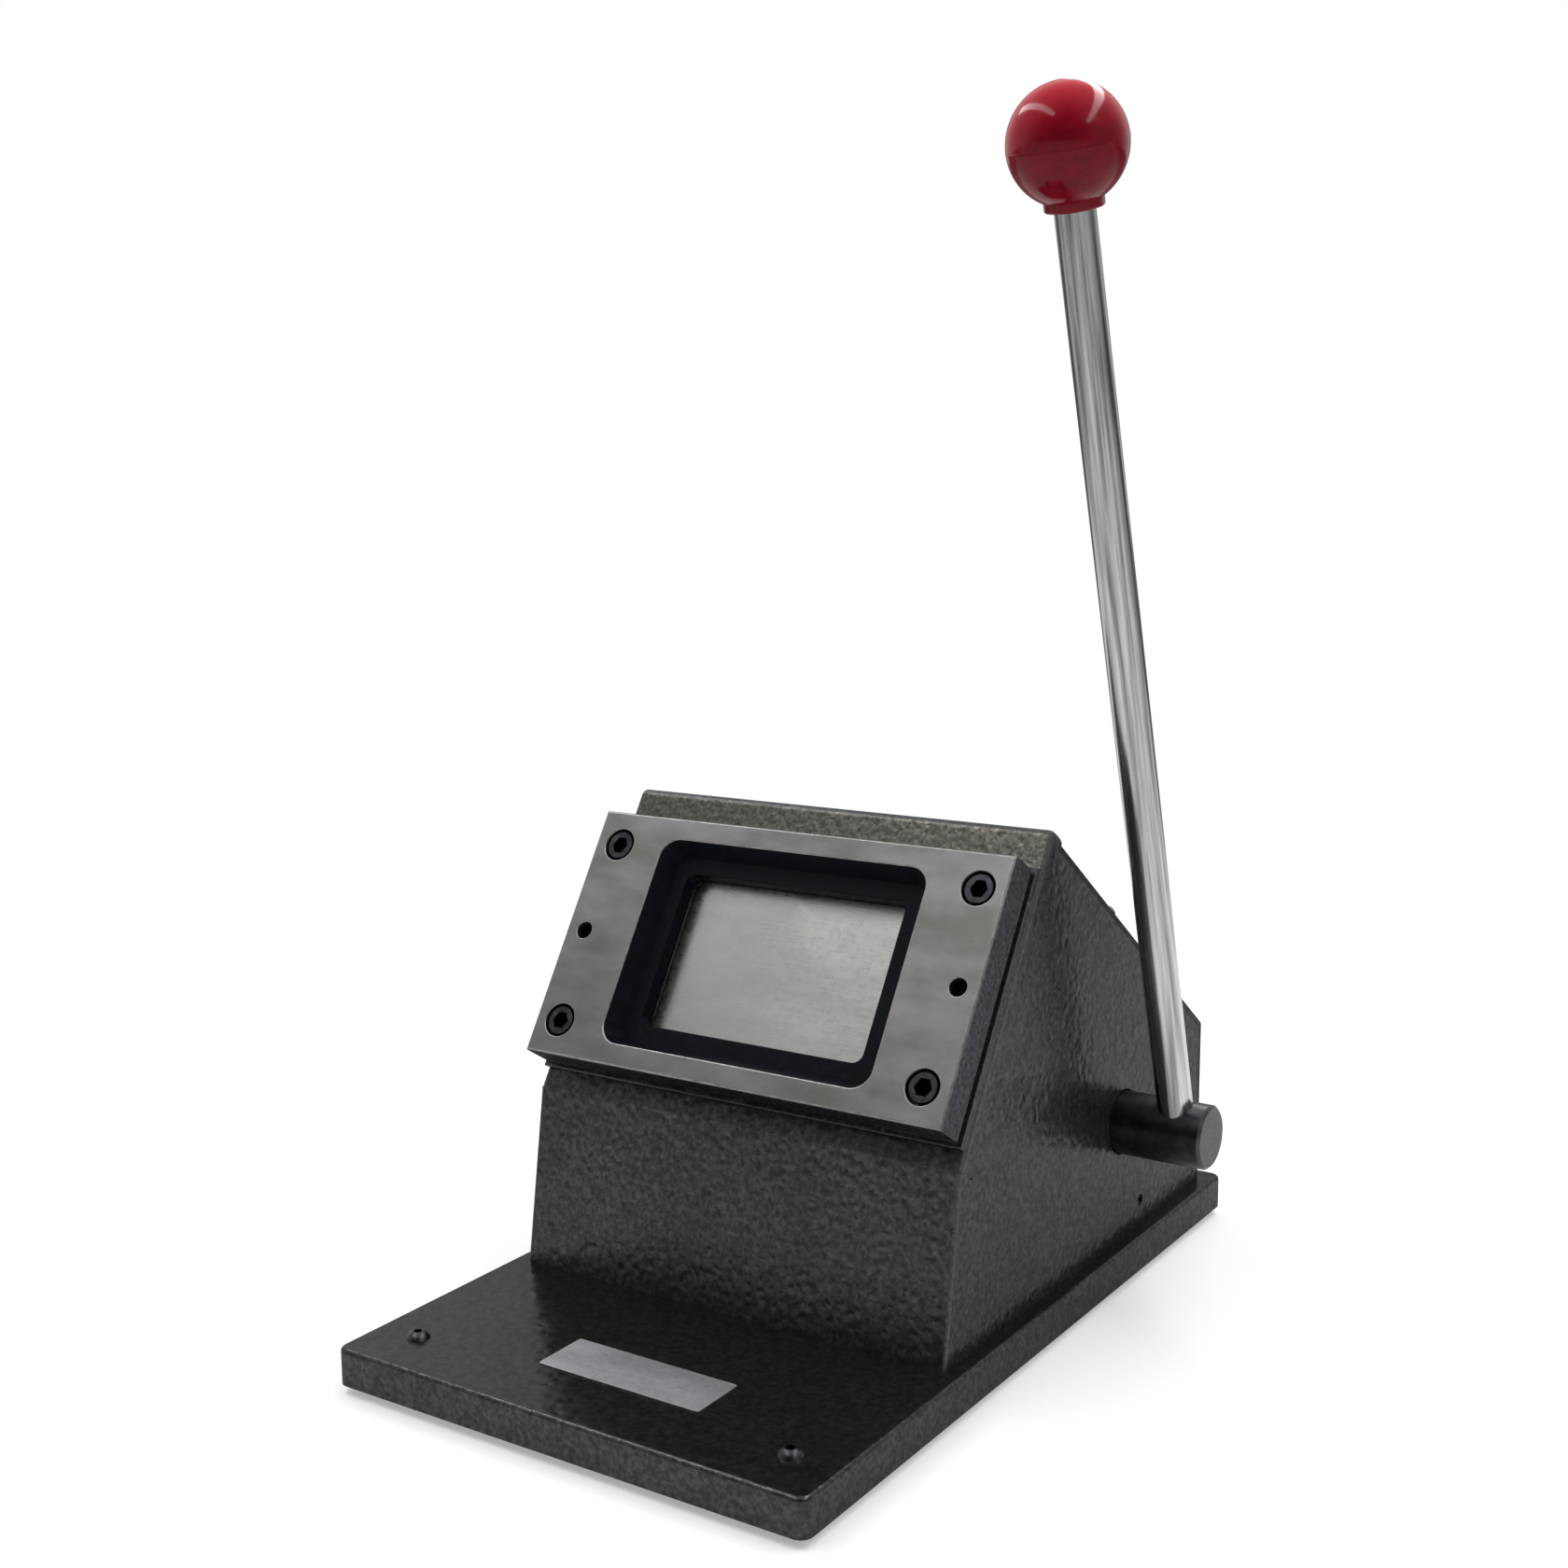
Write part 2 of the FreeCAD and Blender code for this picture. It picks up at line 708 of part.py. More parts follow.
def cover_screw_places():
    """(y, z, angle) of each cover screw on one side, its angle turning up to outwards."""
    places = []
    for run in ("cover_screw_low", "cover_screw_high"):
        places.append((f"({REAR_Y} - {run} * cos(rear_slope))",
                       f"({CORNER_Z} + {run} * sin(rear_slope))", "-rear_slope"))
    places.append((REAR_Y, f"({BASE_TOP} + cover_screw_rear)", "-90"))
    return places


def cover_screw_tools(side, length):
    """Cylinders for the holes of one side's cover screws."""
    x = f"{side} * (body_width / 2 - side_thick / 2)"
    tools = []
    for y, z, angle in cover_screw_places():
        deep_y = f"{y} + {length} * sin({angle})"
        deep_z = f"{z} - {length} * cos({angle})"
        tools.append(cylinder("cover_screw", length, (x, deep_y, deep_z), X_AXIS, angle))
    return tools


def make_side_plate(label, side):
    """A side of the housing, with its shaft hole and the holes of the cover and rail screws."""
    left, right = ((INSIDE_X, "body_width / 2") if side > 0
                   else ("-body_width / 2", minus(INSIDE_X)))
    body = profile_body("SidePlate", [
        (FRONT_INNER_Y, BASE_TOP), (REAR_INNER_Y, BASE_TOP), (REAR_INNER_Y, CORNER_INNER_Z),
        COVER_TOP_INNER, MOUNT_FOOT, FRONT_INNER], left, right)
    shaft = rod_x("shaft_wide + 2 * shaft_clear", left, "side_thick", SHAFT_Y, SHAFT_Z)
    rail = rod_x("rail_screw", left, "side_thick", RAIL_SCREW_Y,
                 f"{BASE_TOP} + rail_screw_rise")
    node(label, cut(body, shaft, rail, *cover_screw_tools(side, "cover_screw_long")))


def make_front_panel():
    """The lower front, leaning back from the base to the slanted plate."""
    node("front_panel", profile_body("FrontPanel", [
        (FRONT_Y, BASE_TOP), (FRONT_INNER_Y, BASE_TOP), FRONT_INNER, BEND],
        "-body_width / 2", "body_width / 2"))


def make_rear_cover():
    """The bent sheet that closes the back."""
    body = profile_body("RearCover", [
        (REAR_INNER_Y, BASE_TOP), (REAR_Y, BASE_TOP), (REAR_Y, CORNER_Z),
        COVER_TOP, COVER_TOP_INNER, (REAR_INNER_Y, CORNER_INNER_Z)],
        "-body_width / 2", "body_width / 2")
    rear, corner = number(REAR_Y), number(CORNER_Z)
    dress(body, "Fillet", "cover_bend",
          lambda edge: near(edge.BoundBox.YMin, rear) and near(edge.BoundBox.ZMin, corner)
          and near(edge.BoundBox.ZMax, corner))
    tools = [tool for side in (-1, 1) for tool in cover_screw_tools(side, "cover_thick")]
    node("rear_cover", cut(body, *tools))


def make_cover_screws():
    """Small domed screws that hold the rear cover to the side plates' edges."""
    screw = button_screw("CoverScrew", "cover_screw", "cover_screw_head", "cover_screw_rise",
                         "cover_screw_crown", "cover_screw_key", "cover_screw_long")
    spots = []
    angles = []
    for side in (-1, 1):
        for y, z, angle in cover_screw_places():
            spots.append((f"{side} * (body_width / 2 - side_thick / 2)", y, z))
            angles.append(angle)
    copies("cover_screws", screw, spots, angles)


def make_rail(label, side):
    """A square bar that ties a side plate to the base."""
    x = f"{side} * {RAIL_X} - rail_wide / 2"
    bar = block(x, RAIL_START, BASE_TOP, "rail_wide", f"{RAIL_END} - {RAIL_START}",
                "rail_wide")
    bolts = [cylinder("bolt_wide", "bolt_grip", (spot[0], spot[1], BASE_TOP))
             for spot in BOLT_SPOTS[(1 if side > 0 else 0)::2]]
    grub_start = f"{side} * ({INSIDE_X} - rail_wide / 2) - rail_wide / 2"
    grub = rod_x("rail_screw", grub_start, "rail_wide", RAIL_SCREW_Y,
                 f"{BASE_TOP} + rail_screw_rise")
    node(label, cut(bar, *bolts, grub))


def make_base_bolts():
    """Cap screws that come up through the base into the rails."""
    screw = cap_screw("bolt_wide", "bolt_head", "bolt_head_high", "bolt_key",
                      "base_thick - bolt_room_deep + bolt_grip")
    copies("base_bolts", screw,
           [(x, y, "foot_stand + bolt_room_deep") for x, y in BOLT_SPOTS], ["180"] * 4)


def make_rail_screws():
    """Headless screws through the side plates into the rails."""
    links = []
    for side in (-1, 1):
        screw = grub_screw("rail_screw", "rail_screw_long")
        x = f"{side} * (body_width / 2 - rail_screw_sink)"
        links.append(place(screw, (x, RAIL_SCREW_Y, f"{BASE_TOP} + rail_screw_rise"),
                           Y_AXIS, f"{side} * 90"))
    node("rail_screws", group(*links))


# ---------------------------------------------------------------- die head, drawn flat

DIE_SCREW_SPOTS = [(f"{x} * die_screw_x", f"{y} * die_screw_v")
                   for x, y in ((-1, -1), (1, -1), (1, 1), (-1, 1))]
DOWEL_SPOTS = [("-dowel_x", "0"), ("dowel_x", "0")]
PILLAR_SPOTS = [("-pillar_x", "0"), ("pillar_x", "0")]


def face_plate(name, width, low, high, front, thick):
    """A rectangular plate parallel to the slanted face, its front at a depth."""
    body = new_body(name)
    sketch = sketch_on(body, "XY_Plane", minus(f"{front} + {thick}"))
    half = f"({width} / 2)"
    rectangle(sketch, minus(half), half, minus(low), high)
    pad(body, sketch, thick)
    return on_face(body)


def make_die_plate():
    """The hardened plate with the sloping window and the cutting land behind it."""
    half = "die_height / 2"
    body = face_plate("DiePlate", "die_width", half, half, "0", "die_thick")
    dress(body, "Chamfer", "die_bevel",
          lambda edge: near(edge.BoundBox.ZMin, 0) and near(edge.BoundBox.ZMax, 0))
    window = sketch_on(body, "XY_Plane")
    rounded(window, "window_width", "window_height", "window_corner")
    pocket(body, window, "window_depth", "-window_draft")
    land = sketch_on(body, "XY_Plane", "-window_depth")
    rounded(land, "blank_width", "blank_height", "blank_corner")
    pocket(body, land, "die_thick - window_depth")
    drill(body, "XY_Plane", "0", DIE_SCREW_SPOTS, "die_screw_room",
          "die_screw_head_high + die_screw_sink")
    drill(body, "XY_Plane", "0", DIE_SCREW_SPOTS, "die_screw", "die_thick")
    drill(body, "XY_Plane", "0", DOWEL_SPOTS, "dowel", "die_thick")
    node("die_plate", body)


def make_spacer(label, side):
    """A thin strip beside the feed slot that sets its gap."""
    body = new_body("Spacer")
    sketch = sketch_on(body, "XY_Plane", minus(GUIDE_Q))
    inner = f"({side} * slot_width / 2)"
    outer = f"({side} * (die_width / 2 - spacer_step))"
    left, right = (inner, outer) if side > 0 else (outer, inner)
    rectangle(sketch, left, right, "-die_height / 2", "die_height / 2")
    pad(body, sketch, "slot_gap")
    own = [spot for spot in DIE_SCREW_SPOTS if number(spot[0]) * side > 0]
    drill(body, "XY_Plane", minus(SLOT_Q), own, "die_screw", "slot_gap")
    drill(body, "XY_Plane", minus(SLOT_Q), [(f"{side} * dowel_x", "0")], "dowel", "slot_gap")
    node(label, on_face(body))


def make_guide_plate():
    """The plate behind the slot that strips the blank and steers the punch."""
    half = "guide_height / 2"
    body = face_plate("GuidePlate", "guide_width", half, half, GUIDE_Q, "guide_thick")
    opening = sketch_on(body, "XY_Plane", minus(GUIDE_Q))
    rounded(opening, "blank_width", "blank_height", "blank_corner")
    pocket(body, opening, "guide_thick")
    drill(body, "XY_Plane", minus(GUIDE_Q), DIE_SCREW_SPOTS, "die_screw", "guide_thick")
    drill(body, "XY_Plane", minus(GUIDE_Q), DOWEL_SPOTS, "dowel", "guide_thick")
    node("guide_plate", body)


def make_mount_plate():
    """The slanted front of the housing, which carries the die head and the guide pillars."""
    body = face_plate("MountPlate", "body_width", "mount_low", "mount_high", MOUNT_Q,
                      "mount_thick")
    back = -number(MOUNT_BACK_Q)
    top = number("mount_high")
    dress(body, "Chamfer", "mount_bevel",
          lambda edge: near(edge.BoundBox.ZMin, back) and near(edge.BoundBox.ZMax, back)
          and near(edge.BoundBox.YMin, top))
    opening = sketch_on(body, "XY_Plane", minus(MOUNT_Q))
    rounded(opening, "(blank_width + 2 * mount_clear)", "(blank_height + 2 * mount_clear)",
            "(blank_corner + mount_clear)")
    pocket(body, opening, "mount_thick")
    drill(body, "XY_Plane", minus(MOUNT_Q), DIE_SCREW_SPOTS, "die_screw", "mount_thick")
    drill(body, "XY_Plane", minus(MOUNT_Q), DOWEL_SPOTS, "dowel", "mount_thick")
    drill(body, "XY_Plane", minus(MOUNT_Q), PILLAR_SPOTS, "pillar", "mount_thick")
    node("mount_plate", body)


def make_die_screws():
    """Cap screws sunk in the corners of the die plate."""
    shank = f"({MOUNT_BACK_Q} - die_screw_sink - die_screw_head_high)"
    screw = cap_screw("die_screw", "die_screw_head", "die_screw_head_high", "die_screw_key",
                      shank)
    on_face(copies("die_screws", screw,
                   [(x, y, "0 - die_screw_head_high - die_screw_sink")
                    for x, y in DIE_SCREW_SPOTS]))


def make_dowels():
    """Ground pins that line the die head up with the housing."""
    pin = cylinder("dowel", f"{MOUNT_BACK_Q} - dowel_sink - dowel_short")
    on_face(copies("dowel_pins", pin, [(x, y, f"dowel_short - {MOUNT_BACK_Q}")
                                       for x, y in DOWEL_SPOTS]))


def make_pillars():
    """Pillars that guide the punch holder, and the rings that stop it going back."""
    pillar = cylinder("pillar", "pillar_long")
    on_face(copies("guide_pillars", pillar, [(x, y, f"0 - {MOUNT_Q} - pillar_long")
                                             for x, y in PILLAR_SPOTS]))
    ring = cut(cylinder("pillar_ring", "pillar_ring_thick"),
               cylinder("pillar", "pillar_ring_thick"))
    depth = f"({HOLDER_BACK_Q} + bush_proud + pillar_ring_thick)"
    on_face(copies("pillar_rings", ring, [(x, y, f"0 - {depth} - spring_seat")
                                          for x, y in PILLAR_SPOTS]))


def make_springs():
    """Coils round the pillars that push the punch holder back."""
    start = f"({MOUNT_BACK_Q} + spring_wire / 2 + spring_seat)"
    free = f"({HOLDER_Q} - bush_proud - {MOUNT_BACK_Q} - spring_wire - 2 * spring_seat)"
    helix = doc.addObject("Part::Helix", "SpringPath")
    helix.setExpression("Pitch", bind(f"{free} / spring_turns"))
    helix.setExpression("Height", bind(free))
    helix.setExpression("Radius", bind("(spring_wide - spring_wire) / 2"))
    wire = doc.addObject("Part::Circle", "SpringWire")
    wire.setExpression("Radius", bind("spring_wire / 2"))
    place(wire, ("(spring_wide - spring_wire) / 2", "0", "0"), X_AXIS, "90")
    doc.recompute()
    spring = doc.addObject("Part::Sweep", "ReturnSpring")
    spring.Sections = [wire]
    spring.Spine = (helix, [f"Edge{index + 1}" for index in range(len(helix.Shape.Edges))])
    spring.Solid = True
    spring.Frenet = True
    on_face(copies("return_springs", spring, [(x, y, f"0 - {start} - {free}")
                                              for x, y in PILLAR_SPOTS]))


# ---------------------------------------------------------------- punch and ram, drawn flat

PUNCH_SCREW_SPOTS = [(f"{x} * punch_screw_x", f"{y} * punch_screw_v")
                     for x, y in ((-1, -1), (1, -1), (1, 1), (-1, 1))]
YOKE_SCREW_SPOTS = [(f"{side} * yoke_screw_x", SHAFT_V) for side in (-1, 1)]


def make_punch():
    """The block whose outline is the finished card's."""
    body = new_body("Punch")
    sketch = sketch_on(body, "XY_Plane", minus(HOLDER_Q))
    rounded(sketch, "(blank_width - 2 * fit_gap)", "(blank_height - 2 * fit_gap)",
            "(blank_corner - fit_gap)")
    pad(body, sketch, "punch_long")
    drill(body, "XY_Plane", f"punch_screw_grip - {HOLDER_Q}", PUNCH_SCREW_SPOTS, "punch_screw",
          "punch_screw_grip")
    node("punch", on_face(body))


def make_punch_holder():
    """The plate that carries the punch, slides on the pillars and takes the ram's push."""
    half = "holder_height / 2"
    body = face_plate("PunchHolder", "holder_width", half, half, HOLDER_Q, "holder_thick")
    drill(body, "XY_Plane", minus(HOLDER_Q), PUNCH_SCREW_SPOTS, "punch_screw", "holder_thick")
    drill(body, "XY_Plane", f"punch_screw_head_high - {HOLDER_BACK_Q}", PUNCH_SCREW_SPOTS,
          "punch_screw_head", "punch_screw_head_high")
    drill(body, "XY_Plane", minus(HOLDER_Q), YOKE_SCREW_SPOTS, "yoke_screw", "holder_thick")
    drill(body, "XY_Plane", minus(HOLDER_Q), YOKE_SCREW_SPOTS, "yoke_screw_head",
          "yoke_screw_head_high")
    drill(body, "XY_Plane", minus(HOLDER_Q), PILLAR_SPOTS, "bush_wide", "holder_thick")
    node("punch_holder", body)


def make_ram_screws():
    """Cap screws that join the punch and the yoke to the holder."""
    screw = cap_screw("punch_screw", "punch_screw_head", "punch_screw_head_high",
                      "punch_screw_key",
                      "holder_thick - punch_screw_head_high + punch_screw_grip")
    flip = ["180"] * len(PUNCH_SCREW_SPOTS)
    on_face(copies("punch_screws", screw,
                   [(x, y, f"punch_screw_head_high - {HOLDER_BACK_Q}")
                    for x, y in PUNCH_SCREW_SPOTS], flip))
    screw = cap_screw("yoke_screw", "yoke_screw_head", "yoke_screw_head_high",
                      "yoke_screw_key", "holder_thick - yoke_screw_head_high + yoke_screw_grip")
    on_face(copies("yoke_screws", screw,
                   [(x, y, f"0 - {HOLDER_Q} - yoke_screw_head_high")
                    for x, y in YOKE_SCREW_SPOTS]))


def make_bushes():
    """Bronze bushes in the holder that run on the pillars."""
    length = "(holder_thick + 2 * bush_proud)"
    bush = cut(cylinder("bush_wide", length), cylinder("pillar + 2 * fit_gap", length))
    on_face(copies("pillar_bushes", bush, [(x, y, f"0 - {HOLDER_BACK_Q} - bush_proud")
                                           for x, y in PILLAR_SPOTS]))


def make_yoke():
    """The fork behind the holder that carries the roller."""
    body = profile_body("RamYoke", [
        (f"{SHAFT_V} - yoke_height / 2", minus(HOLDER_BACK_Q)),
        (f"{SHAFT_V} - yoke_arm / 2", f"yoke_lap - {ROLLER_Q}"),
        (f"{SHAFT_V} - yoke_arm / 2", f"0 - yoke_lap - {ROLLER_Q}"),
        (f"{SHAFT_V} + yoke_arm / 2", f"0 - yoke_lap - {ROLLER_Q}"),
        (f"{SHAFT_V} + yoke_arm / 2", f"yoke_lap - {ROLLER_Q}"),
        (f"{SHAFT_V} + yoke_height / 2", minus(HOLDER_BACK_Q))],
        "-yoke_width / 2", "yoke_width / 2")
    deep = "(roller_wide / 2 + yoke_slot_gap + yoke_lap)"
    slot = block("-yoke_slot / 2", f"{SHAFT_V} - yoke_height / 2",
                 f"0 - yoke_lap - {ROLLER_Q}", "yoke_slot", "yoke_height", deep)
    pin = rod_x("roller_pin", "-yoke_width / 2", "yoke_width", SHAFT_V, minus(ROLLER_Q))
    screws = [cylinder("yoke_screw", "yoke_screw_grip",
                       (x, y, f"0 - {HOLDER_BACK_Q} - yoke_screw_grip"))
              for x, y in YOKE_SCREW_SPOTS]
    node("ram_yoke", on_face(cut(body, slot, pin, *screws)))


def make_roller():
    """The cam follower, its pin and the two clips on the pin's ends."""
    half = "(yoke_width / 2 + roller_pin_over)"
    pin = rod_x("roller_pin", minus(half), f"2 * {half}", SHAFT_V, minus(ROLLER_Q))
    node("roller_pin", on_face(group(pin)))
    clips = []
    for start in ("yoke_width / 2", "0 - yoke_width / 2 - clip_thick"):
        clips.append(cut(rod_x("clip_wide", start, "clip_thick", SHAFT_V, minus(ROLLER_Q)),
                         rod_x("roller_pin", start, "clip_thick", SHAFT_V, minus(ROLLER_Q))))
    node("pin_clips", on_face(group(*clips)))
    start = "-roller_long / 2"
    wheel = cut(rod_x("roller_wide", start, "roller_long", SHAFT_V, minus(ROLLER_Q)),
                rod_x("roller_pin + 2 * fit_gap", start, "roller_long", SHAFT_V,
                      minus(ROLLER_Q)))
    node("roller", on_face(wheel))


# ---------------------------------------------------------------- shaft, cam and bearings

LEFT_END = "(0 - body_width / 2 - collar_gap - collar_long - shaft_tail)"
RIGHT_END = f"({ARM_X} + shaft_end)"
CAM_ANGLE = "(face_angle - throw / 2)"
STOP_ANGLE = "(180 - throw / 2)"


def make_bearing(word, left):
    """A welded bearing block inside a side plate, and its bronze bush."""
    block_ring = cut(rod_x("housing_wide", left, "housing_long", SHAFT_Y, SHAFT_Z),
                     rod_x("bearing_wide", left, "housing_long", SHAFT_Y, SHAFT_Z))
    node(f"{word}_bearing_block", block_ring)
    bush = cut(rod_x("bearing_wide", left, "housing_long", SHAFT_Y, SHAFT_Z),
               rod_x("shaft_wide + 2 * fit_gap", left, "housing_long", SHAFT_Y, SHAFT_Z))
    node(f"{word}_bearing_bush", bush)


def shaft_key():
    """The key's block, about the shaft's axis, turned with the cam."""
    key = block("-cam_long / 2", "-key_wide / 2", "shaft_wide / 2 - key_deep", "cam_long",
                "key_wide", "2 * key_deep")
    return place(group(key), angle=CAM_ANGLE)


def stop_pin_rod():
    """The stop pin's cylinder, from the shaft's far side out to its tip."""
    foot = (STOP_X, f"shaft_wide / 2 * sin({STOP_ANGLE})",
            f"0 - shaft_wide / 2 * cos({STOP_ANGLE})")
    return cylinder("stop_pin", "shaft_wide / 2 + stop_pin_reach", foot, X_AXIS, STOP_ANGLE)


def lever_hole(diameter, bottom, length):
    """A cylinder in the shaft's end along the lever's line, from bottom up."""
    foot = (ARM_X, f"0 - ({bottom}) * sin(lever_lean)", f"({bottom}) * cos(lever_lean)")
    return cylinder(diameter, length, foot, X_AXIS, "lever_lean")


def make_cross_shaft():
    """The shaft that the lever turns, its ends bevelled, along +X through the origin."""
    body = new_body("ShaftBar")
    length = f"({RIGHT_END} - {LEFT_END})"
    radius = "(shaft_wide / 2)"
    end = f"({radius} - shaft_bevel)"
    revolve(body, [("0", "0"), (end, "0"), (radius, "shaft_bevel"),
                   (radius, f"{length} - shaft_bevel"), (end, length), ("0", length)])
    bar = place(body, (LEFT_END, "0", "0"), Y_AXIS, "90")
    rod = lever_hole("lever_wide", "-lever_foot", "lever_foot + shaft_wide")
    screw = lever_hole("lever_screw", "-shaft_wide", "shaft_wide")
    node("cross_shaft", on_shaft(cut(bar, rod, screw, stop_pin_rod(), shaft_key())))


def make_cam():
    """The eccentric disc, its key and its set screw."""
    disc = cut(rod_x("cam_wide", "-cam_long / 2", "cam_long", "cam_offset"),
               rod_x("shaft_wide", "-cam_long / 2", "cam_long"),
               cylinder("cam_screw", "cam_wide", angle="-90"))
    turned = place(group(disc), angle=CAM_ANGLE)
    node("eccentric_cam", on_shaft(cut(turned, shaft_key())))
    node("cam_key", on_shaft(group(shaft_key())))
    screw = place(grub_screw("cam_screw", "cam_screw_long"),
                  ("0", "shaft_wide / 2 + cam_screw_long", "0"), X_AXIS, "-90")
    node("cam_screw", on_shaft(group(screw), CAM_ANGLE))


def make_shaft_collars():
    """Rings on both sides of the left bearing that keep the shaft from sliding."""
    starts = ["(0 - body_width / 2 - collar_gap - collar_long)",
              f"(housing_long + collar_gap - {INSIDE_X})"]
    rings = []
    screws = []
    for start in starts:
        middle = f"{start} + collar_long / 2"
        rings.append(cut(rod_x("collar_wide", start, "collar_long"),
                         rod_x("shaft_wide", start, "collar_long"),
                         cylinder("collar_screw", "collar_wide", (middle, "0", "0"))))
        screws.append(place(grub_screw("collar_screw", "collar_screw_long"),
                            (middle, "0", "shaft_wide / 2 + collar_screw_long")))
    node("shaft_collars", on_shaft(group(*rings)))
    node("collar_screws", on_shaft(group(*screws)))


def make_stop():
    """The pin in the shaft and the bracket on the base that end the lever's travel."""
    node("stop_pin", on_shaft(group(stop_pin_rod())))
    half = f"({STOP_TIP} + stop_wall)"
    high = f"({BASE_TOP} + stop_high)"
    floor = f"({BASE_TOP} + stop_floor)"
    body = profile_body("StopBracket", [
        (f"{SHAFT_Y} - {half}", BASE_TOP), (f"{SHAFT_Y} + {half}", BASE_TOP),
        (f"{SHAFT_Y} + {half}", high), (f"{SHAFT_Y} + {STOP_TIP}", high),
        (f"{SHAFT_Y} + {STOP_TIP}", floor), (f"{SHAFT_Y} - {STOP_TIP}", floor),
        (f"{SHAFT_Y} - {STOP_TIP}", high), (f"{SHAFT_Y} - {half}", high)],
        f"{STOP_X} - stop_wide / 2", f"{STOP_X} + stop_wide / 2")
    drill(body, "XY_Plane", high, STOP_SPOTS, "stop_screw", "stop_high")
    node("stop_bracket", body)
    screw = cap_screw("stop_screw", "stop_screw_head", "stop_screw_head_high",
                      "stop_screw_key", "stop_high + stop_screw_grip")
    copies("stop_screws", screw, [(x, y, high) for x, y in STOP_SPOTS])


# ---------------------------------------------------------------- lever, drawn up from the shaft

ROD_TOP = "(lever_long - knob_drop)"


def on_lever(thing):
    """Carry a piece drawn up from the shaft's axis to the leaning lever."""
    return place(thing, (ARM_X, SHAFT_Y, SHAFT_Z), X_AXIS, "lever_lean")


def make_lever_rod():
    """The bright steel rod, with a spigot for the knob and a tapped foot."""
    body = new_body("LeverRod")
    radius = "(lever_wide / 2)"
    spigot = "(lever_spigot / 2)"
    hole = "(lever_screw / 2)"
    top = f"({ROD_TOP} + lever_spigot_long)"
    inside = "(lever_screw_long - lever_foot)"
    revolve(body, [(hole, "-lever_foot"), (radius, "-lever_foot"), (radius, ROD_TOP),
                   (spigot, ROD_TOP), (spigot, top), ("0", top), ("0", inside),
                   (hole, inside)])
    node("lever_rod", on_lever(body))


def make_lever_screw():
    """The screw through the underside of the shaft that clamps the rod."""
    screw = grub_screw("lever_screw", "shaft_wide / 2 + lever_screw_long - lever_foot")
    node("lever_screw", on_lever(group(place(screw, ("0", "0", "-shaft_wide / 2"),
                                             angle="180"))))


def make_knob():
    """The ball knob with its short neck, and the brass insert inside it."""
    ball = doc.addObject("Part::Sphere", "Ball")
    ball.setExpression("Radius", bind("knob_wide / 2"))
    place(ball, ("0", "0", "lever_long"))
    neck = cylinder("knob_neck", "knob_neck_long", ("0", "0", ROD_TOP))
    bore = cylinder("insert_wide", "insert_long", ("0", "0", ROD_TOP))
    node("knob", on_lever(cut(fuse(ball, neck), bore)))
    sleeve = cut(cylinder("insert_wide", "insert_long", ("0", "0", ROD_TOP)),
                 cylinder("lever_spigot", "lever_spigot_long", ("0", "0", ROD_TOP)))
    node("knob_insert", on_lever(sleeve))


# ---------------------------------------------------------------- the whole machine

def build():
    """Make every sub-part in the order that the machine goes together."""
    fill_sheet()
    make_base_plate()
    make_feet()
    make_label_plate()
    make_side_plate("left_side_plate", -1)
    make_side_plate("right_side_plate", 1)
    make_front_panel()
    make_rear_cover()
    make_cover_screws()
    make_rail("left_rail", -1)
    make_rail("right_rail", 1)
    make_base_bolts()
    make_rail_screws()
    make_mount_plate()
    make_guide_plate()
    make_spacer("left_spacer", -1)
    make_spacer("right_spacer", 1)
    make_die_plate()
    make_die_screws()
    make_dowels()
    make_pillars()
    make_springs()
    make_punch()
    make_punch_holder()
    make_ram_screws()
    make_bushes()
    make_yoke()
    make_roller()
    make_bearing("left", minus(INSIDE_X))
    make_bearing("right", f"{INSIDE_X} - housing_long")
    make_cross_shaft()
    make_cam()
    make_shaft_collars()
    make_stop()
    make_lever_rod()
    make_lever_screw()
    make_knob()
    doc.recompute()


def check():
    """Stop if any object failed, or any sub-part is empty or broken."""
    for thing in doc.Objects:
        if "Invalid" in thing.State or "Error" in thing.State:
            raise RuntimeError(f"{thing.Name} ({thing.Label}) failed: {thing.State}")
    for label, thing in nodes.items():
        shape = thing.Shape
        if shape.isNull() or not shape.isValid() or not shape.Solids:
            raise RuntimeError(f"{label} has no valid solid")


def export():
    """Write each sub-part to its own file."""
    os.makedirs("parts", exist_ok=True)
    for label, thing in nodes.items():
        thing.Shape.exportStep(os.path.join("parts", f"{label}.step"))
        print(f"{label}: {len(thing.Shape.Solids)} solid(s), {thing.Shape.Volume:.0f} mm3")


build()
check()
export()
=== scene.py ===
"""Looks of a hand-lever card cutter.

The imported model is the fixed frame. Each class of the sub-assemblies softens the edges of its
nodes or models a better piece in their place, and gives every surface its finish.
"""

import logging
import math
from dataclasses import dataclass
from enum import Enum
from typing import Callable

import bmesh
import bpy
from mathutils import Matrix, Vector
from mathutils.bvhtree import BVHTree


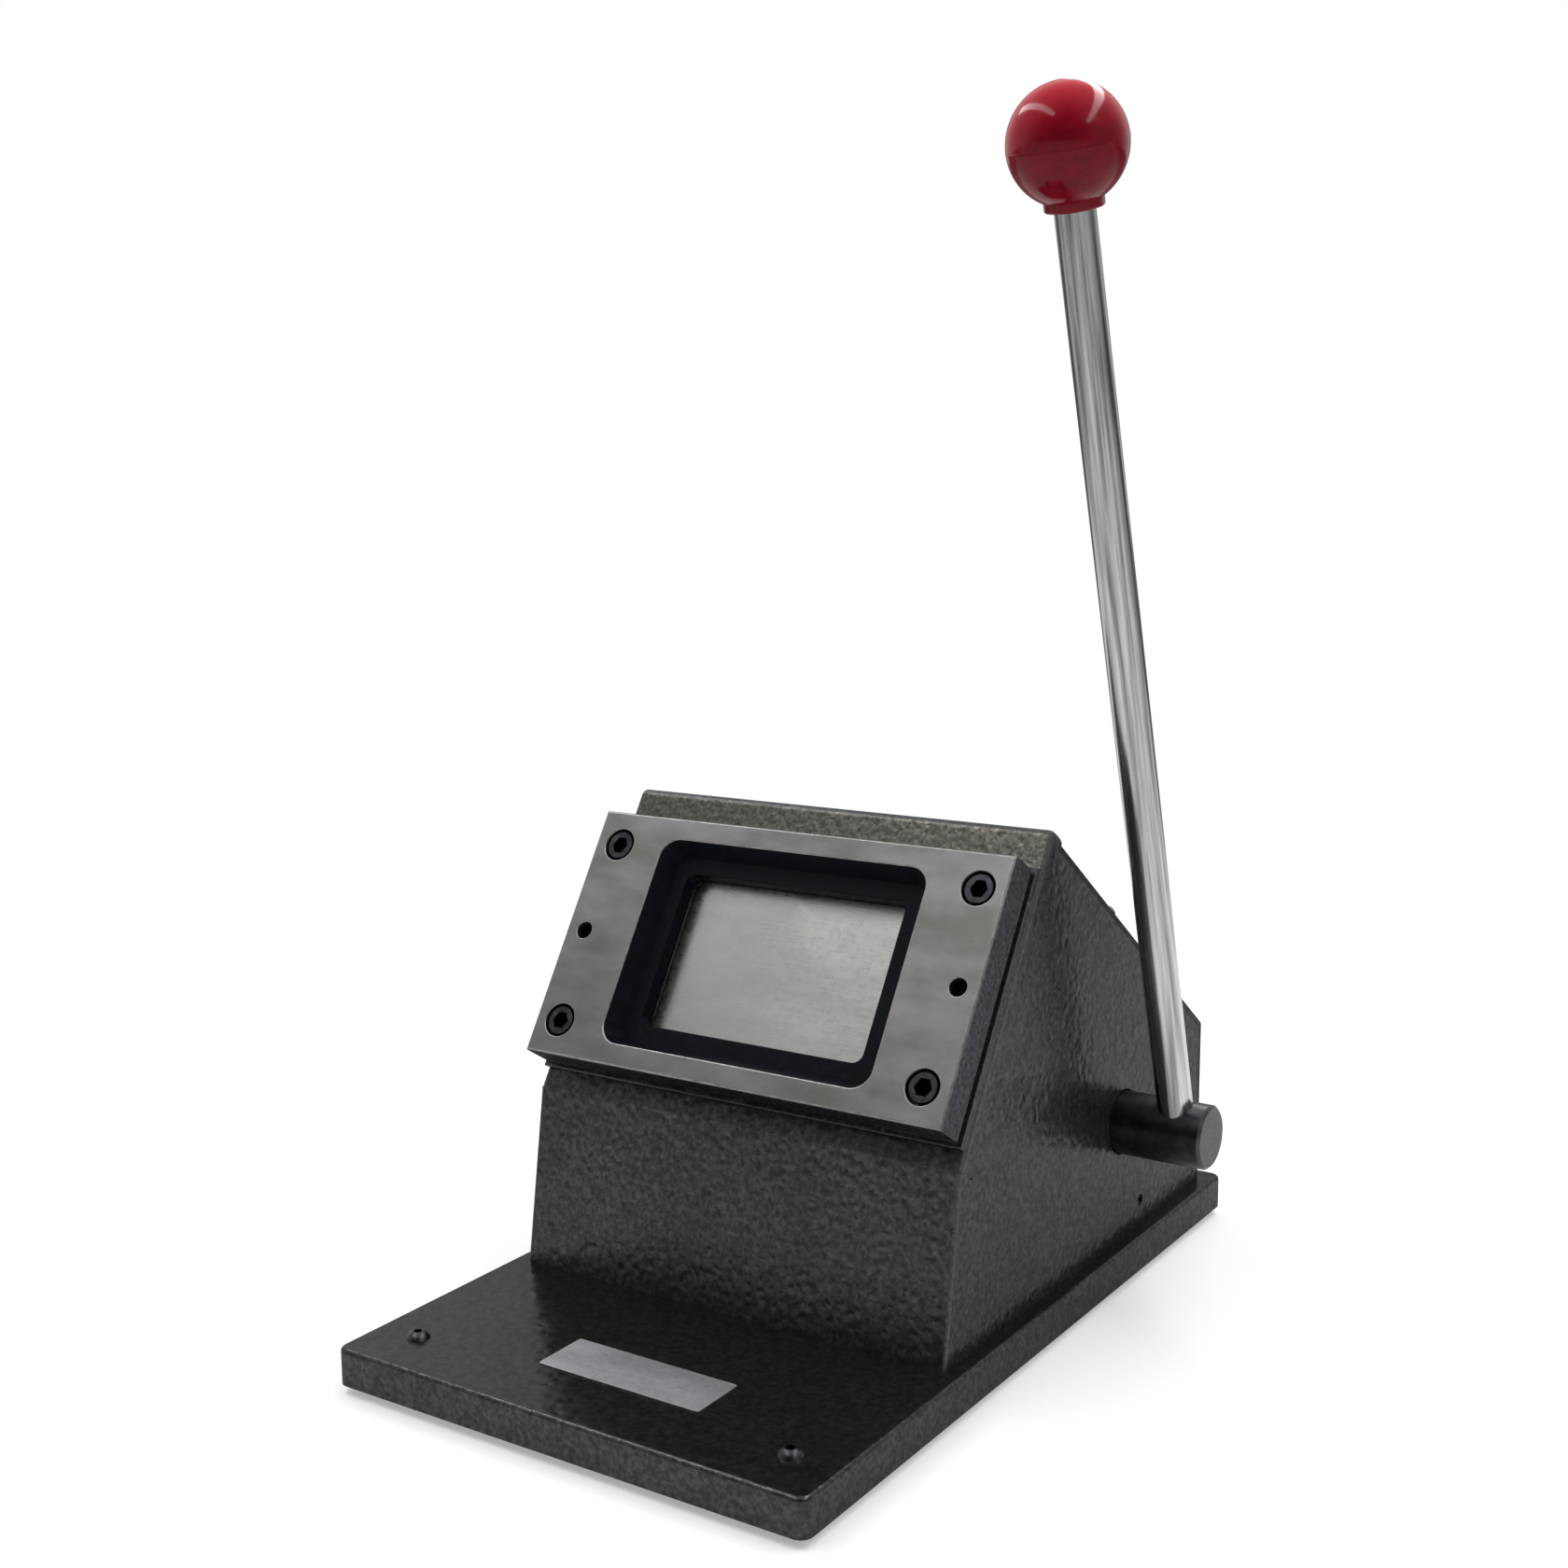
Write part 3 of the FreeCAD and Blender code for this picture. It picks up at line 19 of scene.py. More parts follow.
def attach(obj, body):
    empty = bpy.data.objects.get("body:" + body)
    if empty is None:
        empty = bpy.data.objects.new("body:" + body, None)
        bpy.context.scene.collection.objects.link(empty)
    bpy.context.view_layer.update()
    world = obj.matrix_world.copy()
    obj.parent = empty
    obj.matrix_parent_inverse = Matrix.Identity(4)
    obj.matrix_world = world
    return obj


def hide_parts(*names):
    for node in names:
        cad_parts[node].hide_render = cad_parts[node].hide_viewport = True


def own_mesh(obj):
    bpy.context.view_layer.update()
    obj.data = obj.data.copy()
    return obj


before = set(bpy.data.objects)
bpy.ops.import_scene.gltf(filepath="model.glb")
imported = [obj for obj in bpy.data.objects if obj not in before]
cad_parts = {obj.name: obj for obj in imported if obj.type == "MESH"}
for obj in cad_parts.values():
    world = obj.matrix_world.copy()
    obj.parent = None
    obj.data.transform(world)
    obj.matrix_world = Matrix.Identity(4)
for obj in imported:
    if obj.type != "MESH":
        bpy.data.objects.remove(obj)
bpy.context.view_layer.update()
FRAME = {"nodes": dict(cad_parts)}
LOG = logging.getLogger("card_cutter")

MM = 0.001
WHITE = (1.0, 1.0, 1.0, 1.0)

# The die plate leans back: its normal, its way up and the middle of its front.
FACE_ANGLE = math.radians(57.5)
FACE_NORMAL = Vector((0.0, -math.sin(FACE_ANGLE), math.cos(FACE_ANGLE)))
FACE_RISE = Vector((0.0, math.cos(FACE_ANGLE), math.sin(FACE_ANGLE)))
FACE_CENTRE = Vector((0.0, -35.5 * MM, 127.0 * MM))

# The lever leans to the front at rest, and the knob's middle is here then.
LEVER_LEAN = math.radians(16.3)
KNOB_CENTRE = Vector((101.5 * MM, -25.53 * MM, 370.09 * MM))

# The cosine above which a face counts as looking along a way.
SQUARE_ON = 0.95


class Body(Enum):
    """The bodies that the pieces made here ride on."""

    FRAME = "frame"
    LEVER = "lever"
    RAM = "ram"


class Grain(Enum):
    """How a metal surface was worked, which sets the run of its fine lines.

    Each value is the size of the lines along X, Y and Z in millimetres.
    """

    GROUND = (14.0, 0.35, 0.35)
    DRAWN = (0.5, 0.5, 30.0)
    TURNED = (0.3, 8.0, 8.0)
    MILLED = (3.0, 0.8, 3.0)
    CAST = (1.2, 1.2, 1.2)


# ---------------------------------------------------------------- shader helpers

def linear(colour: str) -> tuple[float, float, float, float]:
    """Turn an sRGB hex colour into linear RGBA.

    Args:
        colour: The colour as "#rrggbb".

    Returns:
        The linear red, green and blue, and an alpha of 1.
    """
    channels = [int(colour[i:i + 2], 16) / 255 for i in (1, 3, 5)]
    red, green, blue = (c / 12.92 if c <= 0.04045 else ((c + 0.055) / 1.055) ** 2.4
                        for c in channels)
    return red, green, blue, 1.0


def per(millimetres: float) -> float:
    """Return the texture scale that gives features of this size."""
    return 1000.0 / millimetres


def connect(tree: bpy.types.NodeTree, node: bpy.types.Node, inputs: dict) -> None:
    """Set a node's inputs, by name or number, to values or output sockets."""
    for name, value in inputs.items():
        if isinstance(value, bpy.types.NodeSocket):
            tree.links.new(value, node.inputs[name])
        else:
            node.inputs[name].default_value = value


def add_node(tree: bpy.types.NodeTree, kind: str, settings: dict | None = None,
             inputs: dict | None = None) -> bpy.types.Node:
    """Add a node to a tree with its settings and links.

    Args:
        tree: The node tree.
        kind: The node's type, without the word ShaderNode.
        settings: Properties of the node by name.
        inputs: Values or output sockets, by the input's name or number.

    Returns:
        The new node.
    """
    node = tree.nodes.new(f"ShaderNode{kind}")
    for name, value in (settings or {}).items():
        setattr(node, name, value)
    connect(tree, node, inputs or {})
    return node


def blend(tree: bpy.types.NodeTree, factor: bpy.types.NodeSocket, low: object,
          high: object) -> bpy.types.NodeSocket:
    """Mix two colours.

    Args:
        tree: The node tree.
        factor: The share of the second colour.
        low: A linear colour or a colour socket, at factor 0.
        high: A linear colour or a colour socket, at factor 1.

    Returns:
        The mixed colour's socket.
    """
    return add_node(tree, "Mix", {"data_type": "RGBA"}, {0: factor, 6: low, 7: high}).outputs[2]


def spread(tree: bpy.types.NodeTree, value: bpy.types.NodeSocket, low: float, high: float,
           start: float = 0.3, end: float = 0.7) -> bpy.types.NodeSocket:
    """Map a value from start..end to low..high, and hold it there.

    Args:
        tree: The node tree.
        value: The value. Most of a texture's lies in the default range.
        low: The result at start.
        high: The result at end.
        start: The lower end of the value's range.
        end: The upper end of the value's range.

    Returns:
        The mapped value's socket.
    """
    return add_node(tree, "MapRange", None, {
        "Value": value, "From Min": start, "From Max": end, "To Min": low,
        "To Max": high}).outputs[0]


def combine(tree: bpy.types.NodeTree, operation: str, first: bpy.types.NodeSocket,
            second: bpy.types.NodeSocket) -> bpy.types.NodeSocket:
    """Combine two values by a Math node's operation, and return the result's socket."""
    return add_node(tree, "Math", {"operation": operation}, {0: first, 1: second}).outputs[0]


def reach_along(tree: bpy.types.NodeTree, place: bpy.types.NodeSocket,
                way: object) -> bpy.types.NodeSocket:
    """Return how far a place lies along a way, or the cosine between two ways."""
    return add_node(tree, "VectorMath", {"operation": "DOT_PRODUCT"}, {
        0: place, 1: way}).outputs[1]


def noise(tree: bpy.types.NodeTree, place: bpy.types.NodeSocket, scale: float, detail: float,
          rough: float = 0.5) -> bpy.types.NodeOutputs:
    """Add cloudy noise, with this many finer layers of this strength.

    Returns:
        The noise's outputs, Fac and Color.
    """
    return add_node(tree, "TexNoise", None, {
        "Vector": place, "Scale": scale, "Detail": detail, "Roughness": rough}).outputs


def relief(tree: bpy.types.NodeTree, strength: float, depth: float,
           height: bpy.types.NodeSocket,
           under: bpy.types.NodeSocket | None = None) -> bpy.types.NodeSocket:
    """Turn a height into a surface's normal.

    Args:
        tree: The node tree.
        strength: How strongly it shows, from 0 to 1.
        depth: The depth of the relief in millimetres.
        height: The height, from 0 to 1.
        under: The normal of the coarser relief that it lies on, if any.

    Returns:
        The normal's socket.
    """
    inputs = {"Strength": strength, "Distance": depth * MM, "Height": height}
    if under:
        inputs["Normal"] = under
    return add_node(tree, "Bump", None, inputs).outputs[0]


def new_material(name: str) -> tuple[bpy.types.Material, bpy.types.NodeTree,
                                     bpy.types.Node, bpy.types.NodeSocket]:
    """Start a material with a Principled shader and Object coordinates.

    Args:
        name: The material's name.

    Returns:
        The material, its tree, its shader and the coordinates' socket.
    """
    material = bpy.data.materials.new(name)
    material.use_nodes = True
    tree = material.node_tree
    tree.nodes.clear()
    shader = add_node(tree, "BsdfPrincipled")
    add_node(tree, "OutputMaterial", None, {"Surface": shader.outputs[0]})
    place = add_node(tree, "TexCoord").outputs["Object"]
    return material, tree, shader, place


# ---------------------------------------------------------------- mesh helpers

def select_only(piece: bpy.types.Object) -> None:
    """Make a piece the only one selected, and the active one."""
    bpy.ops.object.select_all(action="DESELECT")
    piece.select_set(True)
    bpy.context.view_layer.objects.active = piece


def apply_modifier(piece: bpy.types.Object, kind: str, **settings: object) -> None:
    """Add a modifier to a piece with its settings, and apply it.

    Args:
        piece: The piece.
        kind: The modifier's type.
        **settings: The modifier's properties.
    """
    select_only(piece)
    modifier = piece.modifiers.new(kind.title(), kind)
    for name, value in settings.items():
        setattr(modifier, name, value)
    bpy.ops.object.modifier_apply(modifier=modifier.name)


def smooth(piece: bpy.types.Object, angle: float = 32.0) -> None:
    """Shade a piece smooth, with its flat faces kept flat.

    Args:
        piece: The piece.
        angle: The angle in degrees above which an edge stays sharp.
    """
    select_only(piece)
    bpy.ops.object.shade_smooth_by_angle(angle=math.radians(angle))
    apply_modifier(piece, "WEIGHTED_NORMAL", keep_sharp=True, weight=80)


def paint(piece: bpy.types.Object, material: bpy.types.Material) -> None:
    """Give a piece one material."""
    piece.data.materials.clear()
    piece.data.materials.append(material)


def repaint(piece: bpy.types.Object, material: bpy.types.Material,
            wanted: Callable[[bpy.types.MeshPolygon], bool]) -> None:
    """Give some faces of a piece another material.

    Args:
        piece: The piece, which has its main material.
        material: The material of the faces that are wanted.
        wanted: Says of a face whether it takes the material.
    """
    piece.data.materials.append(material)
    slot = len(piece.data.materials) - 1
    for face in piece.data.polygons:
        if wanted(face):
            face.material_index = slot


def settle(piece: bpy.types.Object) -> None:
    """Move a piece's place into its mesh, so that the object sits at the origin."""
    select_only(piece)
    bpy.ops.object.transform_apply(location=True, rotation=True, scale=True)


def dress(node: str, material: bpy.types.Material) -> None:
    """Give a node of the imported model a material."""
    piece = FRAME["nodes"][node]
    for slot in piece.material_slots:
        slot.material = material
    LOG.info("%s: dressed as %s", node, material.name)


def put(piece: bpy.types.Object, body: Body, slot: str, *nodes: str) -> None:
    """Mount a finished piece on its body in place of the nodes it stands for.

    Args:
        piece: The finished piece.
        body: The body it rides on.
        slot: The name of a material slot. It is not used.
        *nodes: The nodes it stands for.
    """
    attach(piece, body.value)
    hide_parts(*nodes)
    LOG.info("%s: %d faces in place of %s", piece.name, len(piece.data.polygons),
             ", ".join(nodes))


@dataclass(frozen=True)
class BrokenEdges:
    """The edges of a real piece after its burrs were taken off, or under its paint.

    Attributes:
        width: How wide the break is, in metres.
        segments: How many faces make it round.
        sharpness: The angle in degrees from which an edge is broken.
        shortest: The length under which an edge keeps its corner, such as a hole's facets.
            Without one, the break narrows where edges crowd.
        flush_with: Nodes whose surface hides an edge that lies on it, as in a welded seam.
        cut: A point and a normal of a plane that splits the faces, where two finishes meet.
    """

    width: float = 0.35 * MM
    segments: int = 2
    sharpness: float = 35.0
    shortest: float = 0.0
    flush_with: tuple[str, ...] = ()
    cut: tuple[Vector, Vector] | None = None

    SAME_POINT = 0.002 * MM
    SAME_PLANE = math.radians(0.4)
    SEAM = 0.06 * MM
    TESTED = (0.25, 0.5, 0.75)

    def make(self, node: str, finish: bpy.types.Material,
             rim: bpy.types.Material | None = None) -> bpy.types.Object:
        """Copy a node's solid, merge its loose triangles and break its edges.

        Args:
            node: The node's name.
            finish: The material of the piece.
            rim: A lighter material for the broken edges, a painted highlight on them, if any.

        Returns:
            The new piece, shaded, at the origin.
        """
        source = FRAME["nodes"][node]
        piece = bpy.data.objects.new(f"{node}_made", source.data.copy())
        bpy.context.scene.collection.objects.link(piece)
        select_only(piece)
        bpy.ops.object.mode_set(mode="EDIT")
        bpy.ops.mesh.select_all(action="SELECT")
        bpy.ops.mesh.customdata_custom_splitnormals_clear()
        bpy.ops.mesh.remove_doubles(threshold=self.SAME_POINT)
        bpy.ops.mesh.mark_sharp(clear=True)
        bpy.ops.mesh.dissolve_limited(angle_limit=self.SAME_PLANE)
        if self.cut:
            bpy.ops.mesh.select_all(action="SELECT")
            bpy.ops.mesh.bisect(plane_co=self.cut[0], plane_no=self.cut[1], threshold=1e-6)
        bpy.ops.object.mode_set(mode="OBJECT")
        self.weigh(piece)
        paint(piece, finish)
        if rim:
            piece.data.materials.append(rim)
        apply_modifier(piece, "BEVEL", width=self.width, segments=self.segments,
                       limit_method="WEIGHT", miter_outer="MITER_ARC",
                       use_clamp_overlap=self.shortest == 0.0, loop_slide=True,
                       material=1 if rim else -1)
        smooth(piece)
        return piece

    def weigh(self, piece: bpy.types.Object) -> None:
        """Mark the edges that are to be broken.

        Args:
            piece: The merged copy.
        """
        trees = []
        for other in self.flush_with:
            data = FRAME["nodes"][other].data
            trees.append(BVHTree.FromPolygons([point.co for point in data.vertices],
                                              [face.vertices for face in data.polygons]))
        mesh = bmesh.new()
        mesh.from_mesh(piece.data)
        layer = (mesh.edges.layers.float.get("bevel_weight_edge")
                 or mesh.edges.layers.float.new("bevel_weight_edge"))
        for edge in mesh.edges:
            if not edge.is_manifold or not edge.is_convex:
                continue
            if (edge.calc_face_angle() < math.radians(self.sharpness)
                    or edge.calc_length() < self.shortest):
                continue
            points = [edge.verts[0].co.lerp(edge.verts[1].co, share) for share in self.TESTED]
            hidden = any(all(tree.find_nearest(point, self.SEAM)[0] is not None
                             for point in points) for tree in trees)
            edge[layer] = 0.0 if hidden else 1.0
        mesh.to_mesh(piece.data)
        mesh.free()


# ---------------------------------------------------------------- finishes

@dataclass(frozen=True)
class HammeredEnamel:
    """Hammer-finish enamel on welded steel.

    The paint pulls together as it dries into soft shallow dimples with a hard gloss. The
    aluminium flake in it mirrors more than it scatters, so a face is as light as what stands
    before it, and the dimples tear the outline of what it mirrors.

    Attributes:
        name: The material's name.
        deep: The colour where the pigment covers the flake.
        flake: The colour where the flake lies on top.
        dimple: How wide a dimple is, in millimetres.
        height: How deep the dimples are, in millimetres.
        roughness: The mean roughness.
        mirror: How far the flake mirrors, from 0 to 1.
        glancing: How much of its mirroring is left at a glancing look, from 0 to 1.
    """

    name: str = "hammered_enamel"
    deep: str = "#28282a"
    flake: str = "#4b4b4e"
    dimple: float = 3.0
    height: float = 0.26
    roughness: float = 0.25
    mirror: float = 0.75
    glancing: float = 0.45

    # The flakes and the drift that bends the dimples out of their rows are this many dimples
    # wide. The drift's reach and the size of the duller clouds are in millimetres.
    FLAKE_SIZE = 0.55
    DRIFT_SIZE = 1.4
    DRIFT_REACH = 1.8
    CLOUD = 30.0

    def make(self) -> bpy.types.Material:
        """Build the material."""
        material, tree, shader, place = new_material(self.name)
        drift = noise(tree, place, per(self.dimple * self.DRIFT_SIZE), 2.0)
        bent = add_node(tree, "VectorMath", {"operation": "MULTIPLY_ADD"}, {
            0: drift["Color"], 1: (self.DRIFT_REACH * MM,) * 3, 2: place}).outputs[0]
        cells = add_node(tree, "TexVoronoi", {"feature": "SMOOTH_F1"}, {
            "Vector": bent, "Scale": per(self.dimple), "Smoothness": 1.0}).outputs["Distance"]
        flakes = noise(tree, place, per(self.dimple * self.FLAKE_SIZE), 3.0, 0.6)["Fac"]
        cloud = noise(tree, place, per(self.CLOUD), 3.0)["Fac"]
        dimples = spread(tree, cells, 0.0, 1.0, 0.1, 0.7)
        shine = combine(tree, "MULTIPLY", spread(tree, flakes, 0.15, 1.0, 0.38, 0.68),
                        spread(tree, cloud, 0.75, 1.0))
        large = relief(tree, 1.0, self.height, cells)
        connect(tree, shader, {
            "Base Color": blend(tree, shine, linear(self.deep), linear(self.flake)),
            "Roughness": spread(tree, dimples, self.roughness - 0.05, self.roughness + 0.07,
                                0.0, 1.0),
            "Metallic": self.mirror,
            "IOR": 1.5,
            "Specular IOR Level": 0.35,
            "Specular Tint": (self.glancing,) * 3 + (1.0,),
            "Normal": relief(tree, 0.4, 0.1 * self.height, flakes, large)})
        return material


@dataclass(frozen=True)
class WorkedSteel:
    """Bare, plated or blackened steel or bronze, with the lines that its tool left.

    The lines catch the light across their run, and handling leaves faint cloudy patches.

    Attributes:
        name: The material's name.
        colour: The metal's own colour.
        shade: The colour of its duller patches.
        roughness: The mean roughness.
        grain: How it was worked.
        turn: The turn of the lines about X, in radians.
        lines: How strongly the lines show, from 0 to 1.
        patch: The size of the duller patches in millimetres.
        anisotropy: How far the gloss is drawn out across the lines.
        stretch: How many times longer the patches are along the lines.
        handled: Its darker shade and colour towards the top, by the knob, if any.
    """

    name: str
    colour: str
    shade: str
    roughness: float = 0.3
    grain: Grain = Grain.GROUND
    turn: float = 0.0
    lines: float = 0.5
    patch: float = 18.0
    anisotropy: float = 0.0
    stretch: float = 1.0
    handled: tuple[str, str] | None = None

    # It turns to its top tones between these heights, in metres. Its lines are this many
    # millimetres deep, and its worn spots are this many to a patch.
    HANDLED_FROM, HANDLED_TO = 0.14, 0.33
    LINE_DEPTH = 0.012
    SPOTS = 9.0

    def make(self) -> bpy.types.Material:
        """Build the material."""
        material, tree, shader, place = new_material(self.name)
        longest = max(self.grain.value)
        patches = [self.patch * (self.stretch if size == longest else 1.0)
                   for size in self.grain.value]
        lines = noise(tree, self.along(tree, place, self.grain.value), 1.0, 4.0, 0.62)["Fac"]
        cloud = noise(tree, self.along(tree, place, patches), 1.0, 5.0, 0.55)["Fac"]
        wear = noise(tree, place, per(self.patch / self.SPOTS), 3.0)["Fac"]
        clean = spread(tree, cloud, 0.0, 1.0, 0.36, 0.64)
        colour = blend(tree, clean, linear(self.shade), linear(self.colour))
        if self.handled:
            # Towards the top the colour turns darker, with more contrast.
            height = add_node(tree, "SeparateXYZ", None, {0: place}).outputs[2]
            dulled = spread(tree, height, 0.0, 1.0, self.HANDLED_FROM, self.HANDLED_TO)
            colour = blend(tree, dulled, colour,
                           blend(tree, clean, *(linear(tone) for tone in self.handled)))
        ruled = spread(tree, lines, 0.4 * self.lines, 0.0, 0.35, 0.55)
        connect(tree, shader, {
            "Base Color": blend(tree, ruled, colour, linear(self.shade)),
            "Roughness": combine(
                tree, "ADD", spread(tree, lines, -0.09 * self.lines, 0.09 * self.lines),
                spread(tree, wear, self.roughness - 0.04, self.roughness + 0.04)),
            "Metallic": 1.0,
            "Anisotropic": self.anisotropy,
            "Normal": relief(tree, self.lines, self.LINE_DEPTH, lines)})
        return material

    def along(self, tree: bpy.types.NodeTree, place: bpy.types.NodeSocket,
              sizes: object) -> bpy.types.NodeSocket:
        """Return coordinates turned to the lines, in units of these millimetres."""
        return add_node(tree, "Mapping", {"vector_type": "TEXTURE"}, {
            "Vector": place, "Rotation": (self.turn, 0.0, 0.0),
            "Scale": tuple(size * MM for size in sizes)}).outputs[0]


@dataclass(frozen=True)
class BlackenedRecess:
    """Dull, a little uneven near-black: painted shade in the die's window and the cover's
    seams.

    Attributes:
        name: The material's name.
        colour: The near-black's colour.
        worn: Its lighter colour in random patches.
        stroke: The size of those patches in millimetres.
        grit: The size of the grains in it in millimetres.
    """

    name: str = "blackened_recess"
    colour: str = "#0a0b12"
    worn: str = "#16171f"
    stroke: float = 4.0
    grit: float = 0.6

    def make(self) -> bpy.types.Material:
        """Build the material."""
        material, tree, shader, place = new_material(self.name)
        brush = noise(tree, place, per(self.stroke), 6.0, 0.65)["Fac"]
        fine = noise(tree, place, per(self.grit), 2.0)["Fac"]
        connect(tree, shader, {
            "Base Color": blend(tree, spread(tree, brush, 0.0, 0.6, 0.52, 0.75),
                                linear(self.colour), linear(self.worn)),
            "Roughness": spread(tree, brush, 0.32, 0.55),
            "IOR": 1.48,
            "Specular IOR Level": 0.06,
            "Normal": relief(tree, 0.5, 0.05, fine)})
        return material


@dataclass(frozen=True)
class MouldedPhenolic:
    """Dark red phenolic, moulded and tumbled to a deep gloss.

    The mould leaves the surface very slightly wavy, and handling dulls it in faint smears. The
    ball's upper part is painted a lighter red: painted light from above.

    Attributes:
        name: The material's name.
        colour: The resin's colour.
        deep: Its colour where it is smeared.
        crown: The lighter red of the painted light on the ball's upper part.
        palm: The way from the ball's middle to where the painted light is strongest.
        wave: The size of the mould's waves in millimetres.
        smear: The size of the smears in millimetres.
    """

    name: str = "moulded_red_phenolic"
    colour: str = "#680a19"
    deep: str = "#560613"
    crown: str = "#b21227"
    palm: tuple[float, float, float] = (-0.35, 0.35, 0.87)
    wave: float = 9.0
    smear: float = 5.0

    # The painted light's lighter red comes in between these heights over the ball's middle, in
    # metres.
    CROWN_FROM, CROWN_TO = -7.0 * MM, 14.0 * MM

    def make(self) -> bpy.types.Material:
        """Build the material."""
        material, tree, shader, place = new_material(self.name)
        wave = noise(tree, place, per(self.wave), 1.0)["Fac"]
        smear = noise(tree, place, per(self.smear), 6.0, 0.7)["Fac"]
        resin = blend(tree, spread(tree, smear, 0.0, 1.0, 0.35, 0.65), linear(self.deep),
                      linear(self.colour))
        offset = add_node(tree, "VectorMath", {"operation": "SUBTRACT"}, {
            0: place, 1: KNOB_CENTRE}).outputs[0]
        # The ball's upper part turns a lighter red: painted light from above.
        fresh = spread(tree, reach_along(tree, offset, self.palm), 0.0, 1.0,
                       self.CROWN_FROM, self.CROWN_TO)
        connect(tree, shader, {
            "Base Color": blend(tree, fresh, resin, linear(self.crown)),
            "Roughness": spread(tree, smear, 0.08, 0.16),
            "IOR": 1.5,
            "Specular IOR Level": 0.12,
            "Normal": relief(tree, 0.35, 0.25, wave)})
        return material


@dataclass(frozen=True)
class MouldedRubber:
    """Black vulcanised rubber with the dull, faintly grey bloom of its mould.

    Attributes:
        name: The material's name.
        colour: The rubber's colour.
        bloom: Its colour under the bloom.
        dust: The size of the bloom's clouds in millimetres.
        pit: The size of its pits in millimetres.
    """

    name: str = "moulded_black_rubber"
    colour: str = "#121212"
    bloom: str = "#242423"
    dust: float = 2.5
    pit: float = 0.35

    def make(self) -> bpy.types.Material:
        """Build the material."""
        material, tree, shader, place = new_material(self.name)
        dust = noise(tree, place, per(self.dust), 5.0, 0.7)["Fac"]
        pits = noise(tree, place, per(self.pit), 2.0)["Fac"]
        connect(tree, shader, {
            "Base Color": blend(tree, spread(tree, dust, 0.0, 1.0), linear(self.colour),
                                linear(self.bloom)),
            "Roughness": spread(tree, dust, 0.62, 0.85),
            "IOR": 1.52,
            "Normal": relief(tree, 0.6, 0.04, pits)})
        return material


